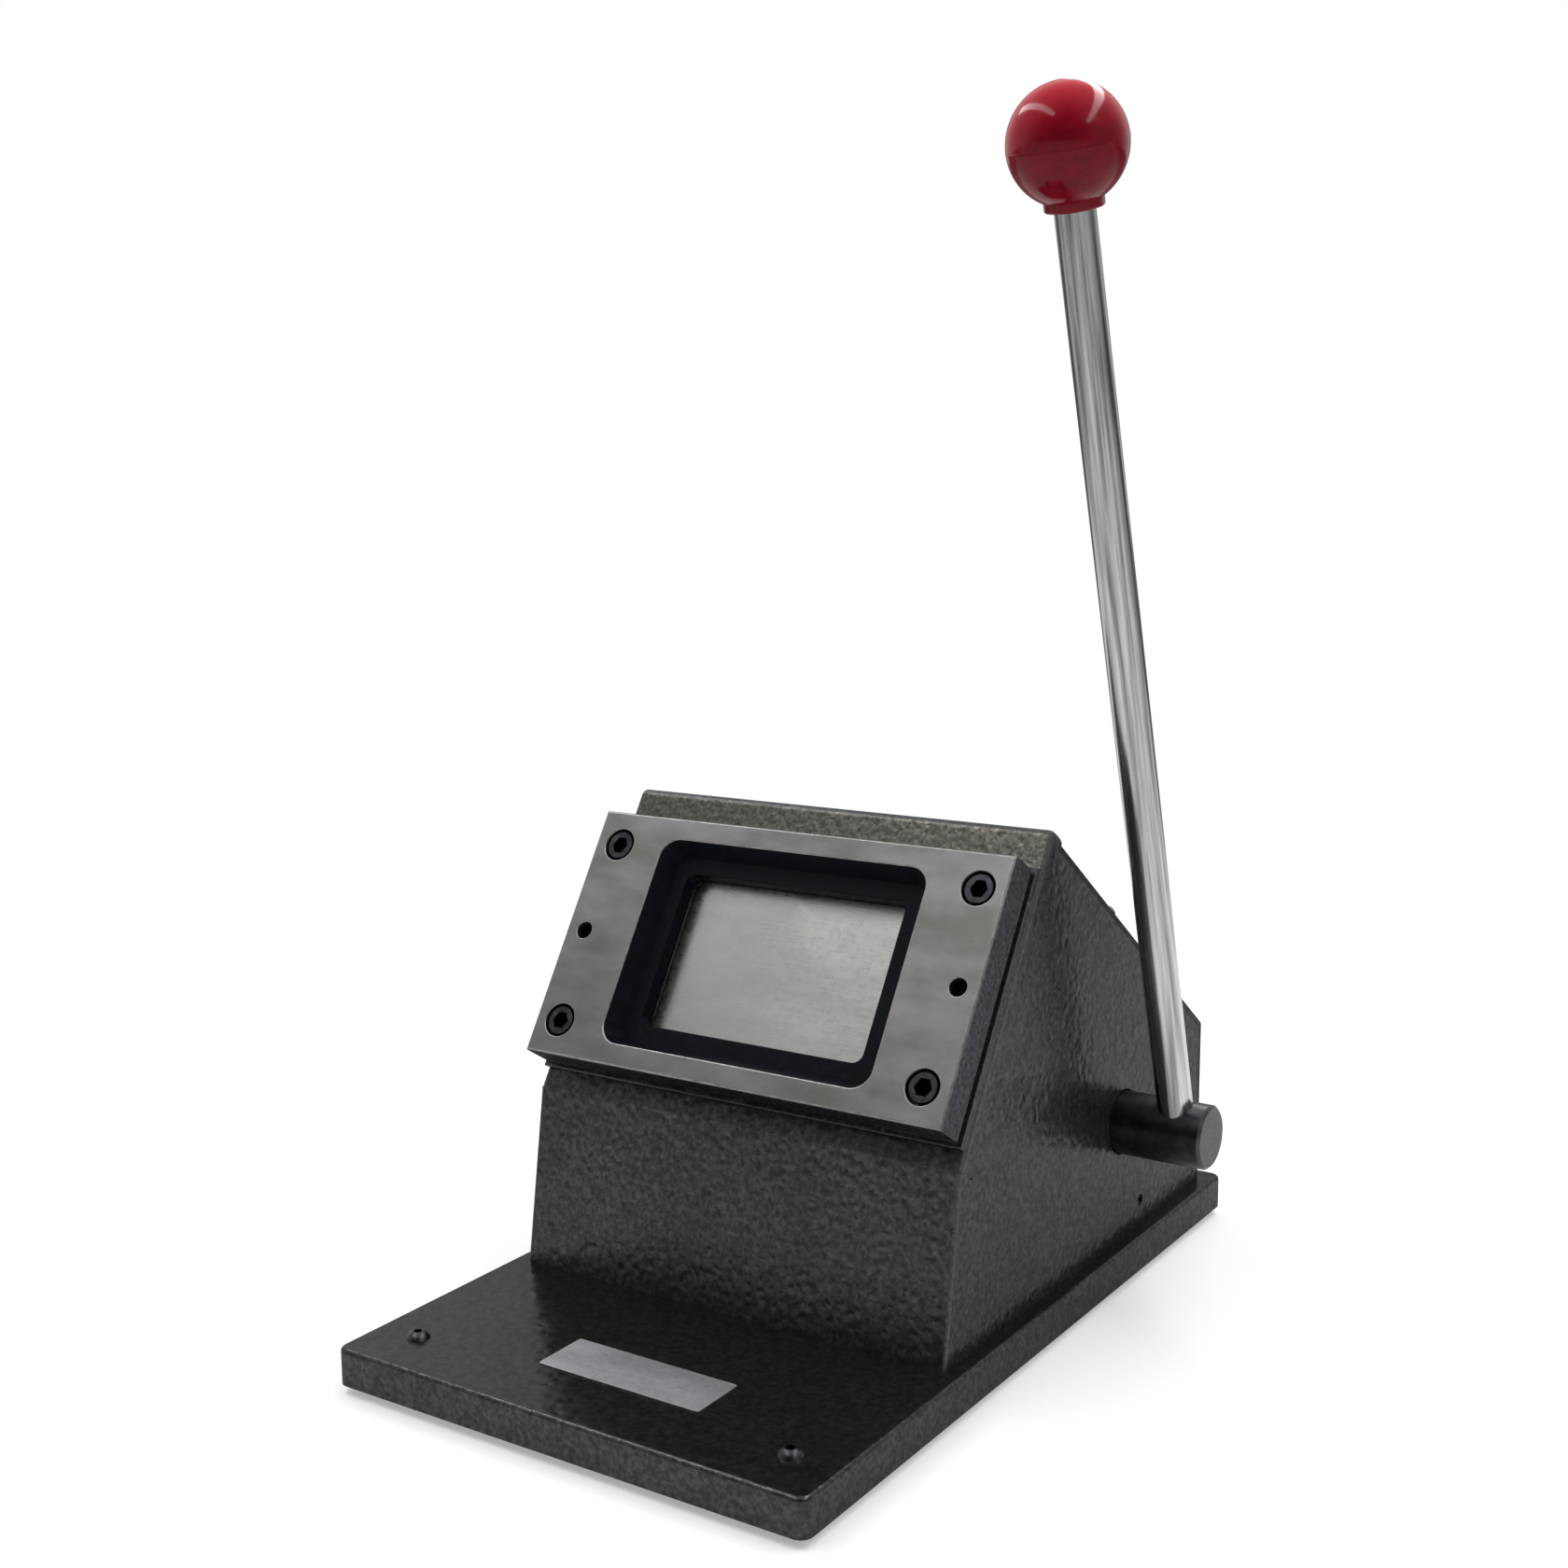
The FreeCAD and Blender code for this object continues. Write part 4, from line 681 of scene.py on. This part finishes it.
class Finishes:
    """Every finish of the machine, each built once."""

    def __init__(self) -> None:
        """Build the materials."""
        self.enamel = HammeredEnamel().make()
        self.levelled = HammeredEnamel(
            "levelled_enamel", "#222224", "#3c3c3e", dimple=3.6, height=0.14, roughness=0.2,
            glancing=0.9).make()
        # Lighter enamel for the broken edges of the shell and guide plates: a painted
        # highlight.
        self.rubbed = HammeredEnamel(
            "rubbed_enamel", "#363638", "#525254", dimple=2.2, height=0.1, roughness=0.36,
            mirror=0.45).make()
        # Lighter enamel for the band above the die plate: painted light on that face.
        self.strip_worn = HammeredEnamel(
            "strip_worn_enamel", "#35342f", "#63615b", dimple=2.4, height=0.2, roughness=0.34,
            mirror=0.7, glancing=0.7).make()
        self.sides = HammeredEnamel(
            "brushed_enamel", "#404043", "#636367", dimple=2.0, height=0.1, roughness=0.42,
            mirror=0.95, glancing=0.12).make()
        # Near-black: painted shade in the die's window and in the cover's seams.
        self.recess = BlackenedRecess().make()
        self.phenolic = MouldedPhenolic().make()
        self.rubber = MouldedRubber().make()
        self.ground = WorkedSteel(
            "ground_steel", "#7f7d81", "#696864", 0.4, Grain.GROUND, FACE_ANGLE, lines=0.35,
            patch=14.0, anisotropy=0.2, stretch=2.0).make()
        # Lighter steel on the die plate's broken edges: a painted highlight.
        self.edge = WorkedSteel(
            "bright_broken_edge", "#949290", "#787675", 0.38, Grain.CAST, lines=0.4,
            patch=3.0).make()
        self.milled = WorkedSteel(
            "milled_steel", "#7a7a7b", "#6a6a6c", 0.38, Grain.MILLED, FACE_ANGLE,
            lines=0.6).make()
        self.tool = WorkedSteel(
            "ground_tool_steel", "#b0b0ad", "#a0a09e", 0.3, Grain.GROUND, FACE_ANGLE,
            lines=0.6, patch=22.0, anisotropy=0.3, stretch=3.0).make()
        self.drawn = WorkedSteel(
            "bright_drawn_steel", "#c2c2c1", "#7c7c7e", 0.2, Grain.DRAWN, LEVER_LEAN,
            lines=0.7, patch=1.6, anisotropy=0.3, stretch=40.0,
            handled=("#48484b", "#9c9c9d")).make()
        self.pin = WorkedSteel(
            "ground_pin_steel", "#9a9a9b", "#8a8a8b", 0.2, Grain.TURNED, lines=0.4).make()
        self.turned = WorkedSteel(
            "turned_steel", "#7c7c7d", "#6a6a6c", 0.32, Grain.TURNED, lines=0.6).make()
        self.shaft = WorkedSteel(
            "darkened_shaft", "#4a4c50", "#383a3e", 0.36, Grain.CAST, lines=0.6,
            patch=5.0).make()
        self.shaft_end = WorkedSteel(
            "faced_shaft_end", "#36383b", "#2c2d31", 0.4, Grain.CAST, lines=0.4,
            patch=5.0).make()
        self.black = WorkedSteel(
            "black_oxide", "#434347", "#2e2e32", 0.36, Grain.CAST, lines=0.4,
            patch=3.0).make()
        # Near-black: painted shade in the die screws' sockets and round their heads. The dowel
        # pins take it too.
        self.socket = WorkedSteel(
            "oiled_socket", "#0c0c0d", "#060607", 0.6, Grain.CAST, lines=0.3,
            patch=2.0).make()
        self.zinc = WorkedSteel(
            "dull_zinc", "#7b7c80", "#66676b", 0.33, Grain.CAST, lines=0.4, patch=4.0).make()
        self.spring = WorkedSteel(
            "oiled_spring_wire", "#55555a", "#3c3c40", 0.28, Grain.CAST, FACE_ANGLE,
            lines=0.4, patch=6.0).make()
        self.bronze = WorkedSteel(
            "turned_bronze", "#b08850", "#94703f", 0.3, Grain.TURNED, FACE_ANGLE,
            lines=0.6).make()
        self.label = WorkedSteel(
            "satin_aluminium", "#abadb1", "#9a9ca0", 0.55, Grain.GROUND, patch=12.0,
            stretch=2.0).make()


# ---------------------------------------------------------------- sub-assemblies

@dataclass
class Base:
    """The base plate with its feet, their screws and nuts, and the bare label plate.

    Attributes:
        finishes: The machine's finishes.
        edge: How wide the base plate's rounding is, in metres.
    """

    finishes: Finishes
    edge: float = 1.3 * MM

    def build(self) -> None:
        """Make the pieces."""
        plate = BrokenEdges(self.edge, 4).make("base_plate", self.finishes.enamel)
        repaint(plate, self.finishes.levelled, lambda face: face.normal.z > SQUARE_ON)
        put(plate, Body.FRAME, "enamel", "base_plate")
        for node, finish, slot, width in (
                ("rubber_feet", self.finishes.rubber, "rubber", 0.6 * MM),
                ("foot_nuts", self.finishes.zinc, "plain_screw", 0.25 * MM),
                ("label_plate", self.finishes.label, "label_metal", 0.12 * MM)):
            put(BrokenEdges(width).make(node, finish), Body.FRAME, slot, node)
        dress("foot_screws", self.finishes.black)
        dress("base_bolts", self.finishes.black)


@dataclass
class Housing:
    """The welded wedge: sides, front, slanted plate and bent cover, with what is bolted in.

    Attributes:
        finishes: The machine's finishes.
        corner: How wide the shell's rounding is, in metres.
        fed_corner: How wide the rounding of the slanted plate is, which the strips wear.
        feed_edge: How far above the die plate's middle the strips' band begins.
        facet: The length under which an edge is a facet of a hole or a bend.
    """

    finishes: Finishes
    corner: float = 1.1 * MM
    fed_corner: float = 2.0 * MM
    feed_edge: float = 40.0 * MM
    facet: float = 4.0 * MM

    # The cosine above which the slanted plate's faces count as its flat front.
    FLAT_ON = 0.97
    SHELL = ("left_side_plate", "right_side_plate", "front_panel", "mount_plate", "rear_cover")
    INSIDE = ("left_rail", "right_rail", "left_bearing_block", "right_bearing_block",
              "stop_bracket")

    def build(self) -> None:
        """Make the pieces."""
        for node in self.SHELL:
            others = tuple(other for other in self.SHELL + ("base_plate",) if other != node)
            feeds = node == "mount_plate"
            edges = BrokenEdges(
                self.fed_corner if feeds else self.corner, 4, shortest=self.facet,
                flush_with=others,
                cut=(FACE_CENTRE + self.feed_edge * FACE_RISE, FACE_RISE) if feeds else None)
            # The broken edges take a lighter enamel: a painted highlight.
            piece = edges.make(node, self.finishes.enamel, self.finishes.rubbed)
            if feeds:
                # The band above the die plate takes a lighter enamel: painted light on that
                # face.
                repaint(piece, self.finishes.strip_worn, self.is_fed)
            if node == "rear_cover":
                # The cover's ends are painted near-black for the shade in the seams beside the
                # side plates.
                repaint(piece, self.finishes.recess, self.is_cover_end)
            put(piece, Body.FRAME, "enamel", node)
        for node in self.INSIDE:
            dress(node, self.finishes.enamel)
        dress("cover_screws", self.finishes.zinc)
        dress("rail_screws", self.finishes.black)
        dress("stop_screws", self.finishes.black)

    def is_fed(self, face: bpy.types.MeshPolygon) -> bool:
        """Tell whether a face of the slanted plate is the band above the die, which is painted
        lighter.
        """
        rise = (face.center - FACE_CENTRE).dot(FACE_RISE)
        return face.normal.dot(FACE_NORMAL) > self.FLAT_ON and rise > self.feed_edge

    @staticmethod
    def is_cover_end(face: bpy.types.MeshPolygon) -> bool:
        """Tell whether a face of the cover lies in a seam by a side plate, to take painted
        shade.
        """
        return abs(face.normal.x) > 0.5


@dataclass
class DieHead:
    """The die plate with its window, the layers behind it, its screws, dowels and the punch.

    Attributes:
        finishes: The machine's finishes.
        size: Half the die plate's width and height, in metres.
        window: Half the width and height that hold the window's mouth.
        edge: How wide the die plate's broken edges are.
        land: How deep the bare rim goes that is left between the front and the paint.
        head: How deep the fronts of the screws' heads lie at most.
    """

    finishes: Finishes
    size: tuple[float, float] = (80.0 * MM, 44.0 * MM)
    window: tuple[float, float] = (52.6 * MM, 37.1 * MM)
    edge: float = 0.3 * MM
    land: float = 0.35 * MM
    head: float = 3.0 * MM

    def build(self) -> None:
        """Make the pieces."""
        # The broken edges take a lighter steel: a painted highlight round the plate and its
        # holes.
        die = BrokenEdges(self.edge, 3, shortest=0.01 * MM).make(
            "die_plate", self.finishes.ground, self.finishes.edge)
        repaint(die, self.finishes.sides, self.is_side)
        # The window's walls and land are painted near-black for the shade in the window.
        repaint(die, self.finishes.recess, self.is_window_wall)
        put(die, Body.FRAME, "ground_steel", "die_plate")
        for node in ("guide_plate", "left_spacer", "right_spacer"):
            # Their broken edges take a lighter enamel: a painted highlight.
            piece = BrokenEdges(0.4 * MM, shortest=3.0 * MM).make(
                node, self.finishes.enamel, self.finishes.rubbed)
            put(piece, Body.FRAME, "ground_steel", node)
        screws = BrokenEdges(0.6 * MM).make("die_screws", self.finishes.black)
        # All but the heads' flat fronts are near-black: painted shade in the sockets and
        # chamfers.
        repaint(screws, self.finishes.socket, lambda face: not self.is_front(face))
        put(screws, Body.FRAME, "black_screw", "die_screws")
        for node, finish, slot, body in (
                ("dowel_pins", self.finishes.socket, "pin_steel", Body.FRAME),
                ("punch", self.finishes.tool, "tool_steel", Body.RAM)):
            put(BrokenEdges(0.25 * MM).make(node, finish), body, slot, node)

    @staticmethod
    def depth(face: bpy.types.MeshPolygon) -> float:
        """Return how far a face's middle lies behind the die plate's front."""
        return -(face.center - FACE_CENTRE).dot(FACE_NORMAL)

    def is_front(self, face: bpy.types.MeshPolygon) -> bool:
        """Tell whether a face of a screw is the flat front of its head."""
        return face.normal.dot(FACE_NORMAL) > SQUARE_ON and self.depth(face) < self.head

    def is_side(self, face: bpy.types.MeshPolygon) -> bool:
        """Tell whether a face is one of the plate's painted edges, outside the window."""
        middle = face.center - FACE_CENTRE
        outside = (abs(middle.x) > self.size[0] - self.land
                   or abs(middle.dot(FACE_RISE)) > self.size[1] - self.land)
        return outside and self.depth(face) > self.land

    def is_window_wall(self, face: bpy.types.MeshPolygon) -> bool:
        """Tell whether a face is one of the window's walls or its land."""
        middle = face.center - FACE_CENTRE
        inside = (abs(middle.x) < self.window[0]
                  and abs(middle.dot(FACE_RISE)) < self.window[1])
        return (inside and self.depth(face) > 0.5 * MM
                and face.normal.dot(FACE_NORMAL) > -0.9)


@dataclass
class Ram:
    """What pushes the punch: holder, bushes, pillars, springs, yoke and roller.

    Attributes:
        finishes: The machine's finishes.
        seat: How far the springs' seat lies behind the die plate's front, in metres. It is not
            used.
        spring: The springs' length at rest, from their seat to the bushes that press them.
        It is not used.
        travel: How far the slide can go. It is not used.
    """

    finishes: Finishes
    seat: float = 24.0 * MM
    spring: float = 17.35 * MM
    travel: float = 6.05 * MM

    def build(self) -> None:
        """Give the inner works their finishes, and make the springs."""
        for node, finish in (
                ("punch_holder", self.finishes.milled), ("ram_yoke", self.finishes.milled),
                ("punch_screws", self.finishes.black), ("yoke_screws", self.finishes.black),
                ("pillar_bushes", self.finishes.bronze), ("guide_pillars", self.finishes.pin),
                ("pillar_rings", self.finishes.turned), ("roller", self.finishes.pin),
                ("roller_pin", self.finishes.pin), ("pin_clips", self.finishes.spring)):
            dress(node, finish)
        springs = BrokenEdges(0.15 * MM).make("return_springs", self.finishes.spring)
        put(springs, Body.FRAME, "spring_steel", "return_springs")
        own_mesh(springs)


@dataclass
class Drive:
    """The cross shaft with its eccentric, bearings, collars and stop."""

    finishes: Finishes

    def build(self) -> None:
        """Give the drive its finishes, and make the shaft."""
        for node, finish in (
                ("eccentric_cam", self.finishes.turned), ("cam_key", self.finishes.pin),
                ("cam_screw", self.finishes.black), ("shaft_collars", self.finishes.turned),
                ("collar_screws", self.finishes.black), ("stop_pin", self.finishes.pin),
                ("left_bearing_bush", self.finishes.bronze),
                ("right_bearing_bush", self.finishes.bronze)):
            dress(node, finish)
        shaft = BrokenEdges(0.1 * MM, shortest=4.0 * MM).make("cross_shaft",
                                                              self.finishes.shaft)
        repaint(shaft, self.finishes.shaft_end, lambda face: abs(face.normal.x) > SQUARE_ON)
        put(shaft, Body.LEVER, "dark_shaft", "cross_shaft")


@dataclass
class Lever:
    """The bright rod, its screw, and the red ball knob with its threaded insert.

    Attributes:
        finishes: The machine's finishes.
        ball: The ball's radius under the parting ridge, in metres.
        ridge: How far the parting ridge stands out of the ball.
        ridge_width: How wide each half of the ridge is.
        neck: The neck's radius.
        bottom: How far the neck's end lies below the ball's middle.
        foot: How wide the rounding of the neck's end is.
        hole: The radius of the hole for the insert.
        hole_depth: How deep the hole goes.
    """

    finishes: Finishes
    ball: float = 17.37 * MM
    ridge: float = 0.12 * MM
    ridge_width: float = 0.45 * MM
    neck: float = 8.7 * MM
    bottom: float = 17.7 * MM
    foot: float = 0.7 * MM
    hole: float = 6.05 * MM
    hole_depth: float = 4.0 * MM

    def build(self) -> None:
        """Make the pieces."""
        dress("lever_rod", self.finishes.drawn)
        dress("lever_screw", self.finishes.black)
        dress("knob_insert", self.finishes.bronze)
        knob = self.make_knob()
        paint(knob, self.finishes.phenolic)
        put(knob, Body.LEVER, "red_plastic", "knob")

    def make_knob(self) -> bpy.types.Object:
        """Model the ball with its neck, the hole for the insert and the mould's parting ridge.

        Returns:
            The knob, at the origin.
        """
        bpy.ops.object.select_all(action="DESELECT")
        bpy.ops.mesh.primitive_uv_sphere_add(
            segments=96, ring_count=64, radius=self.ball, location=KNOB_CENTRE,
            rotation=(LEVER_LEAN, 0.0, 0.0))
        knob = bpy.context.object
        knob.name = "ball_knob"
        top = -math.sqrt(self.ball ** 2 - self.neck ** 2)
        self.edit(knob, lambda point: True)
        bpy.ops.mesh.bisect(plane_co=KNOB_CENTRE + self.along(top), plane_no=self.along(1.0),
                            clear_inner=True, threshold=1e-6)
        bpy.ops.mesh.extrude_edges_move(
            TRANSFORM_OT_translate={"value": self.along(-self.bottom - top)})
        bpy.ops.mesh.edge_face_add()
        bpy.ops.mesh.inset(thickness=self.neck - self.hole)
        bpy.ops.mesh.extrude_region_move(
            TRANSFORM_OT_translate={"value": self.along(self.hole_depth)})
        self.edit(knob, self.is_foot, edges=True)
        bpy.ops.mesh.bevel(offset=self.foot, segments=4, affect="EDGES")
        self.edit(knob, self.is_parting, edges=True)
        bpy.ops.mesh.bevel(offset=self.ridge_width, segments=2, affect="EDGES")
        self.edit(knob, self.is_parting, edges=True)
        bpy.ops.transform.resize(value=(1.0 + self.ridge / self.ball,) * 3,
                                 center_override=KNOB_CENTRE)
        bpy.ops.mesh.select_all(action="SELECT")
        bpy.ops.mesh.remove_doubles(threshold=1e-6)
        bpy.ops.mesh.normals_make_consistent(inside=False)
        bpy.ops.object.mode_set(mode="OBJECT")
        settle(knob)
        smooth(knob, 40.0)
        return knob

    def is_foot(self, point: Vector) -> bool:
        """Tell whether a point of the knob lies on the outer edge of the neck's end."""
        return (abs(point.z + self.bottom) < 0.01 * MM
                and math.hypot(point.x, point.y) > self.neck - 0.1 * MM)

    @staticmethod
    def is_parting(point: Vector) -> bool:
        """Tell whether a point of the knob lies where the two halves of the mould met."""
        return abs(point.z) < 0.01 * MM

    @staticmethod
    def along(distance: float) -> Vector:
        """Return the step of this length up the lever."""
        return distance * Vector((0.0, -math.sin(LEVER_LEAN), math.cos(LEVER_LEAN)))

    @staticmethod
    def edit(piece: bpy.types.Object, wanted: Callable[[Vector], bool],
             edges: bool = False) -> None:
        """Open a piece in edit mode with the points that are wanted selected.

        Args:
            piece: The piece.
            wanted: Says of a point in the piece's own space whether it is selected.
            edges: Whether edges are selected by their two points, or points alone.
        """
        if bpy.context.mode != "OBJECT":
            bpy.ops.object.mode_set(mode="OBJECT")
        select_only(piece)
        bpy.ops.object.mode_set(mode="EDIT")
        bpy.ops.mesh.select_mode(type="EDGE" if edges else "VERT")
        bpy.ops.mesh.select_all(action="DESELECT")
        mesh = bmesh.from_edit_mesh(piece.data)
        for item in (mesh.edges if edges else mesh.verts):
            points = item.verts if edges else (item,)
            item.select_set(all(wanted(point.co) for point in points))
        mesh.select_flush_mode()
        bmesh.update_edit_mesh(piece.data)


# ---------------------------------------------------------------- studio

@dataclass(frozen=True)
class DarkSide:
    """A side of the studio where nothing is lit, which is dark in mirrors.

    Attributes:
        way: The way to it from the object.
        start: The cosine to that way at which the surround begins to darken.
        end: The cosine at which it is darkest.
        left: The share of the light that is left there.
    """

    way: tuple[float, float, float]
    start: float
    end: float
    left: float


@dataclass(frozen=True)
class Lamp:
    """A long soft lamp that faces the object.

    Attributes:
        name: The lamp's name.
        start: The middle of its one short side, in metres.
        end: The middle of its other short side.
        width: How long its short sides are.
        power: Its power in watts.
    """

    name: str
    start: tuple[float, float, float]
    end: tuple[float, float, float]
    width: float
    power: float

    def hang(self, target: Vector) -> None:
        """Add the lamp, turned to face a point."""
        run = Vector(self.end) - Vector(self.start)
        middle = (Vector(self.start) + Vector(self.end)) / 2.0
        long_way = run.normalized()
        away = (middle - target).normalized()
        away = (away - away.dot(long_way) * long_way).normalized()
        data = bpy.data.lights.new(self.name, "AREA")
        data.shape, data.energy = "RECTANGLE", self.power
        data.size, data.size_y = self.width, run.length
        lamp = bpy.data.objects.new(self.name, data)
        turn = Matrix((long_way.cross(away), long_way, away)).transposed()
        lamp.matrix_world = Matrix.Translation(middle) @ turn.to_4x4()
        bpy.context.scene.collection.objects.link(lamp)


@dataclass
class Studio:
    """A pale floor, a white surround, two soft lamps and the camera.

    Attributes:
        place: Where the camera stands, in metres.
        yaw: How far it is turned to the left of +Y, in degrees.
        pitch: How far it looks down.
        roll: How far it is rolled.
        lens: Its focal length in millimetres.
        sensor: The width of its frame in millimetres.
        target: The point of the object that the lamps face.
        front: The dark front, which also lights the object less.
        right: The darker right side.
        back: The darker back, where the floor is darker in mirrors too.
        lamps: The lamps.
    """

    place: Vector = Vector((0.36006, -0.55435, 0.28610))
    yaw: float = 33.981
    pitch: float = 9.268
    roll: float = -0.761
    lens: float = 46.42
    sensor: float = 36.0
    target: Vector = Vector((0.0, 0.0, 0.12))
    front: DarkSide = DarkSide((0.3, -0.95, 0.1), 0.3, 0.8, 0.03)
    right: DarkSide = DarkSide((0.9, 0.43, 0.05), 0.75, 0.95, 0.45)
    back: DarkSide = DarkSide((-0.43, 0.89, 0.1), 0.85, 0.96, 0.3)
    lamps: tuple[Lamp, ...] = (
        Lamp("left_strip", (-1.20, 0.40, 1.19), (-0.02, -1.16, 1.49), 0.2, 10.5),
        Lamp("back_strip", (1.38, -0.60, 1.14), (-0.53, 1.32, 0.96), 0.16, 12.5))

    # Distances on the floor in metres: from the object, between which it turns white, and
    # behind the object, between which it darkens in mirrors.
    FLOOR_WHITE = (0.25, 0.9)
    FLOOR_DARK = (0.5, 0.9)

    def build(self) -> None:
        """Set the studio up."""
        bpy.context.scene.view_settings.view_transform = "Standard"
        self.add_camera()
        self.add_floor()
        self.add_world()
        for lamp in self.lamps:
            lamp.hang(self.target)

    def add_camera(self) -> None:
        """Add the camera at its place and turn."""
        yaw, pitch, roll = (math.radians(a) for a in (self.yaw, self.pitch, self.roll))
        ahead = Vector((-math.sin(yaw) * math.cos(pitch), math.cos(yaw) * math.cos(pitch),
                        -math.sin(pitch)))
        level = Vector((math.cos(yaw), math.sin(yaw), 0.0))
        upright = level.cross(ahead)
        right = math.cos(roll) * level + math.sin(roll) * upright
        up = -math.sin(roll) * level + math.cos(roll) * upright
        data = bpy.data.cameras.new("camera")
        data.lens, data.sensor_width = self.lens, self.sensor
        data.clip_start, data.clip_end = 0.01, 50.0
        camera = bpy.data.objects.new("camera", data)
        bpy.context.scene.collection.objects.link(camera)
        turn = Matrix((right, up, -ahead)).transposed()
        camera.matrix_world = Matrix.Translation(self.place) @ turn.to_4x4()
        bpy.context.scene.camera = camera

    def add_floor(self) -> None:
        """Add the pale floor, which shows the object's soft shadow and turns white far off.

        It is dark in mirrors far behind the object.
        """
        bpy.ops.object.select_all(action="DESELECT")
        bpy.ops.mesh.primitive_plane_add(size=30.0, location=(0.0, 0.0, 0.0))
        floor = bpy.context.object
        floor.name = "floor"
        material = bpy.data.materials.new("pale_floor")
        material.use_nodes = True
        tree = material.node_tree
        tree.nodes.clear()
        place = add_node(tree, "TexCoord").outputs["Object"]
        rays = add_node(tree, "LightPath").outputs
        reach = add_node(tree, "VectorMath", {"operation": "LENGTH"}, {0: place}).outputs[1]
        behind = reach_along(tree, place, self.back.way)
        dark = combine(tree, "MULTIPLY", rays["Is Glossy Ray"],
                       spread(tree, behind, 0.0, 0.8, *self.FLOOR_DARK))
        white = combine(tree, "MULTIPLY", rays["Is Camera Ray"],
                        spread(tree, reach, 0.35, 1.0, *self.FLOOR_WHITE))
        matte = add_node(tree, "BsdfDiffuse", None, {
            "Color": blend(tree, dark, linear("#f4f4f4"), linear("#303030"))})
        glow = add_node(tree, "Emission", None, {"Color": WHITE})
        mixed = add_node(tree, "MixShader", None, {
            0: white, 1: matte.outputs[0], 2: glow.outputs[0]})
        add_node(tree, "OutputMaterial", None, {"Surface": mixed.outputs[0]})
        paint(floor, material)

    def add_world(self) -> None:
        """Make the surround white where it is seen, and a plain room elsewhere.

        What mirrors it sees it white too, but for the dark sides. The room that lights the
        object is brightest overhead and dimmer in front.
        """
        world = bpy.data.worlds.new("surround")
        bpy.context.scene.world = world
        world.use_nodes = True
        tree = world.node_tree
        tree.nodes.clear()
        way = add_node(tree, "TexCoord").outputs["Generated"]
        rays = add_node(tree, "LightPath").outputs
        sides = (self.front, self.right, self.back)
        toward = [reach_along(tree, way, side.way) for side in sides]
        in_front, at_right, behind = (
            spread(tree, cosine, 1.0, side.left, side.start, side.end)
            for cosine, side in zip(toward, sides))
        in_mirrors = combine(tree, "MULTIPLY",
                             combine(tree, "MULTIPLY", in_front, at_right), behind)
        height = add_node(tree, "SeparateXYZ", None, {0: way}).outputs[2]
        room = combine(tree, "MULTIPLY", spread(tree, height, 0.5, 1.1, 0.0, 0.9),
                       spread(tree, toward[0], 1.0, 0.35, 0.1, 0.9))
        lit = add_node(tree, "Mix", None, {
            0: rays["Is Glossy Ray"], 2: room, 3: in_mirrors}).outputs[0]
        seen = combine(tree, "MAXIMUM", rays["Is Camera Ray"], rays["Is Transmission Ray"])
        strength = add_node(tree, "Mix", None, {0: seen, 2: lit, 3: 1.0}).outputs[0]
        background = add_node(tree, "Background", None, {
            "Color": WHITE, "Strength": strength})
        add_node(tree, "OutputWorld", None, {"Surface": background.outputs[0]})


def main() -> None:
    """Build the studio and the sub-assemblies in order."""
    logging.basicConfig(level=logging.INFO, format="%(name)s: %(message)s")
    Studio().build()
    finishes = Finishes()
    for assembly in (Base, Housing, DieHead, Ram, Drive, Lever):
        assembly(finishes).build()
        LOG.info("%s done", assembly.__name__)


if __name__ == "__main__":
    main()
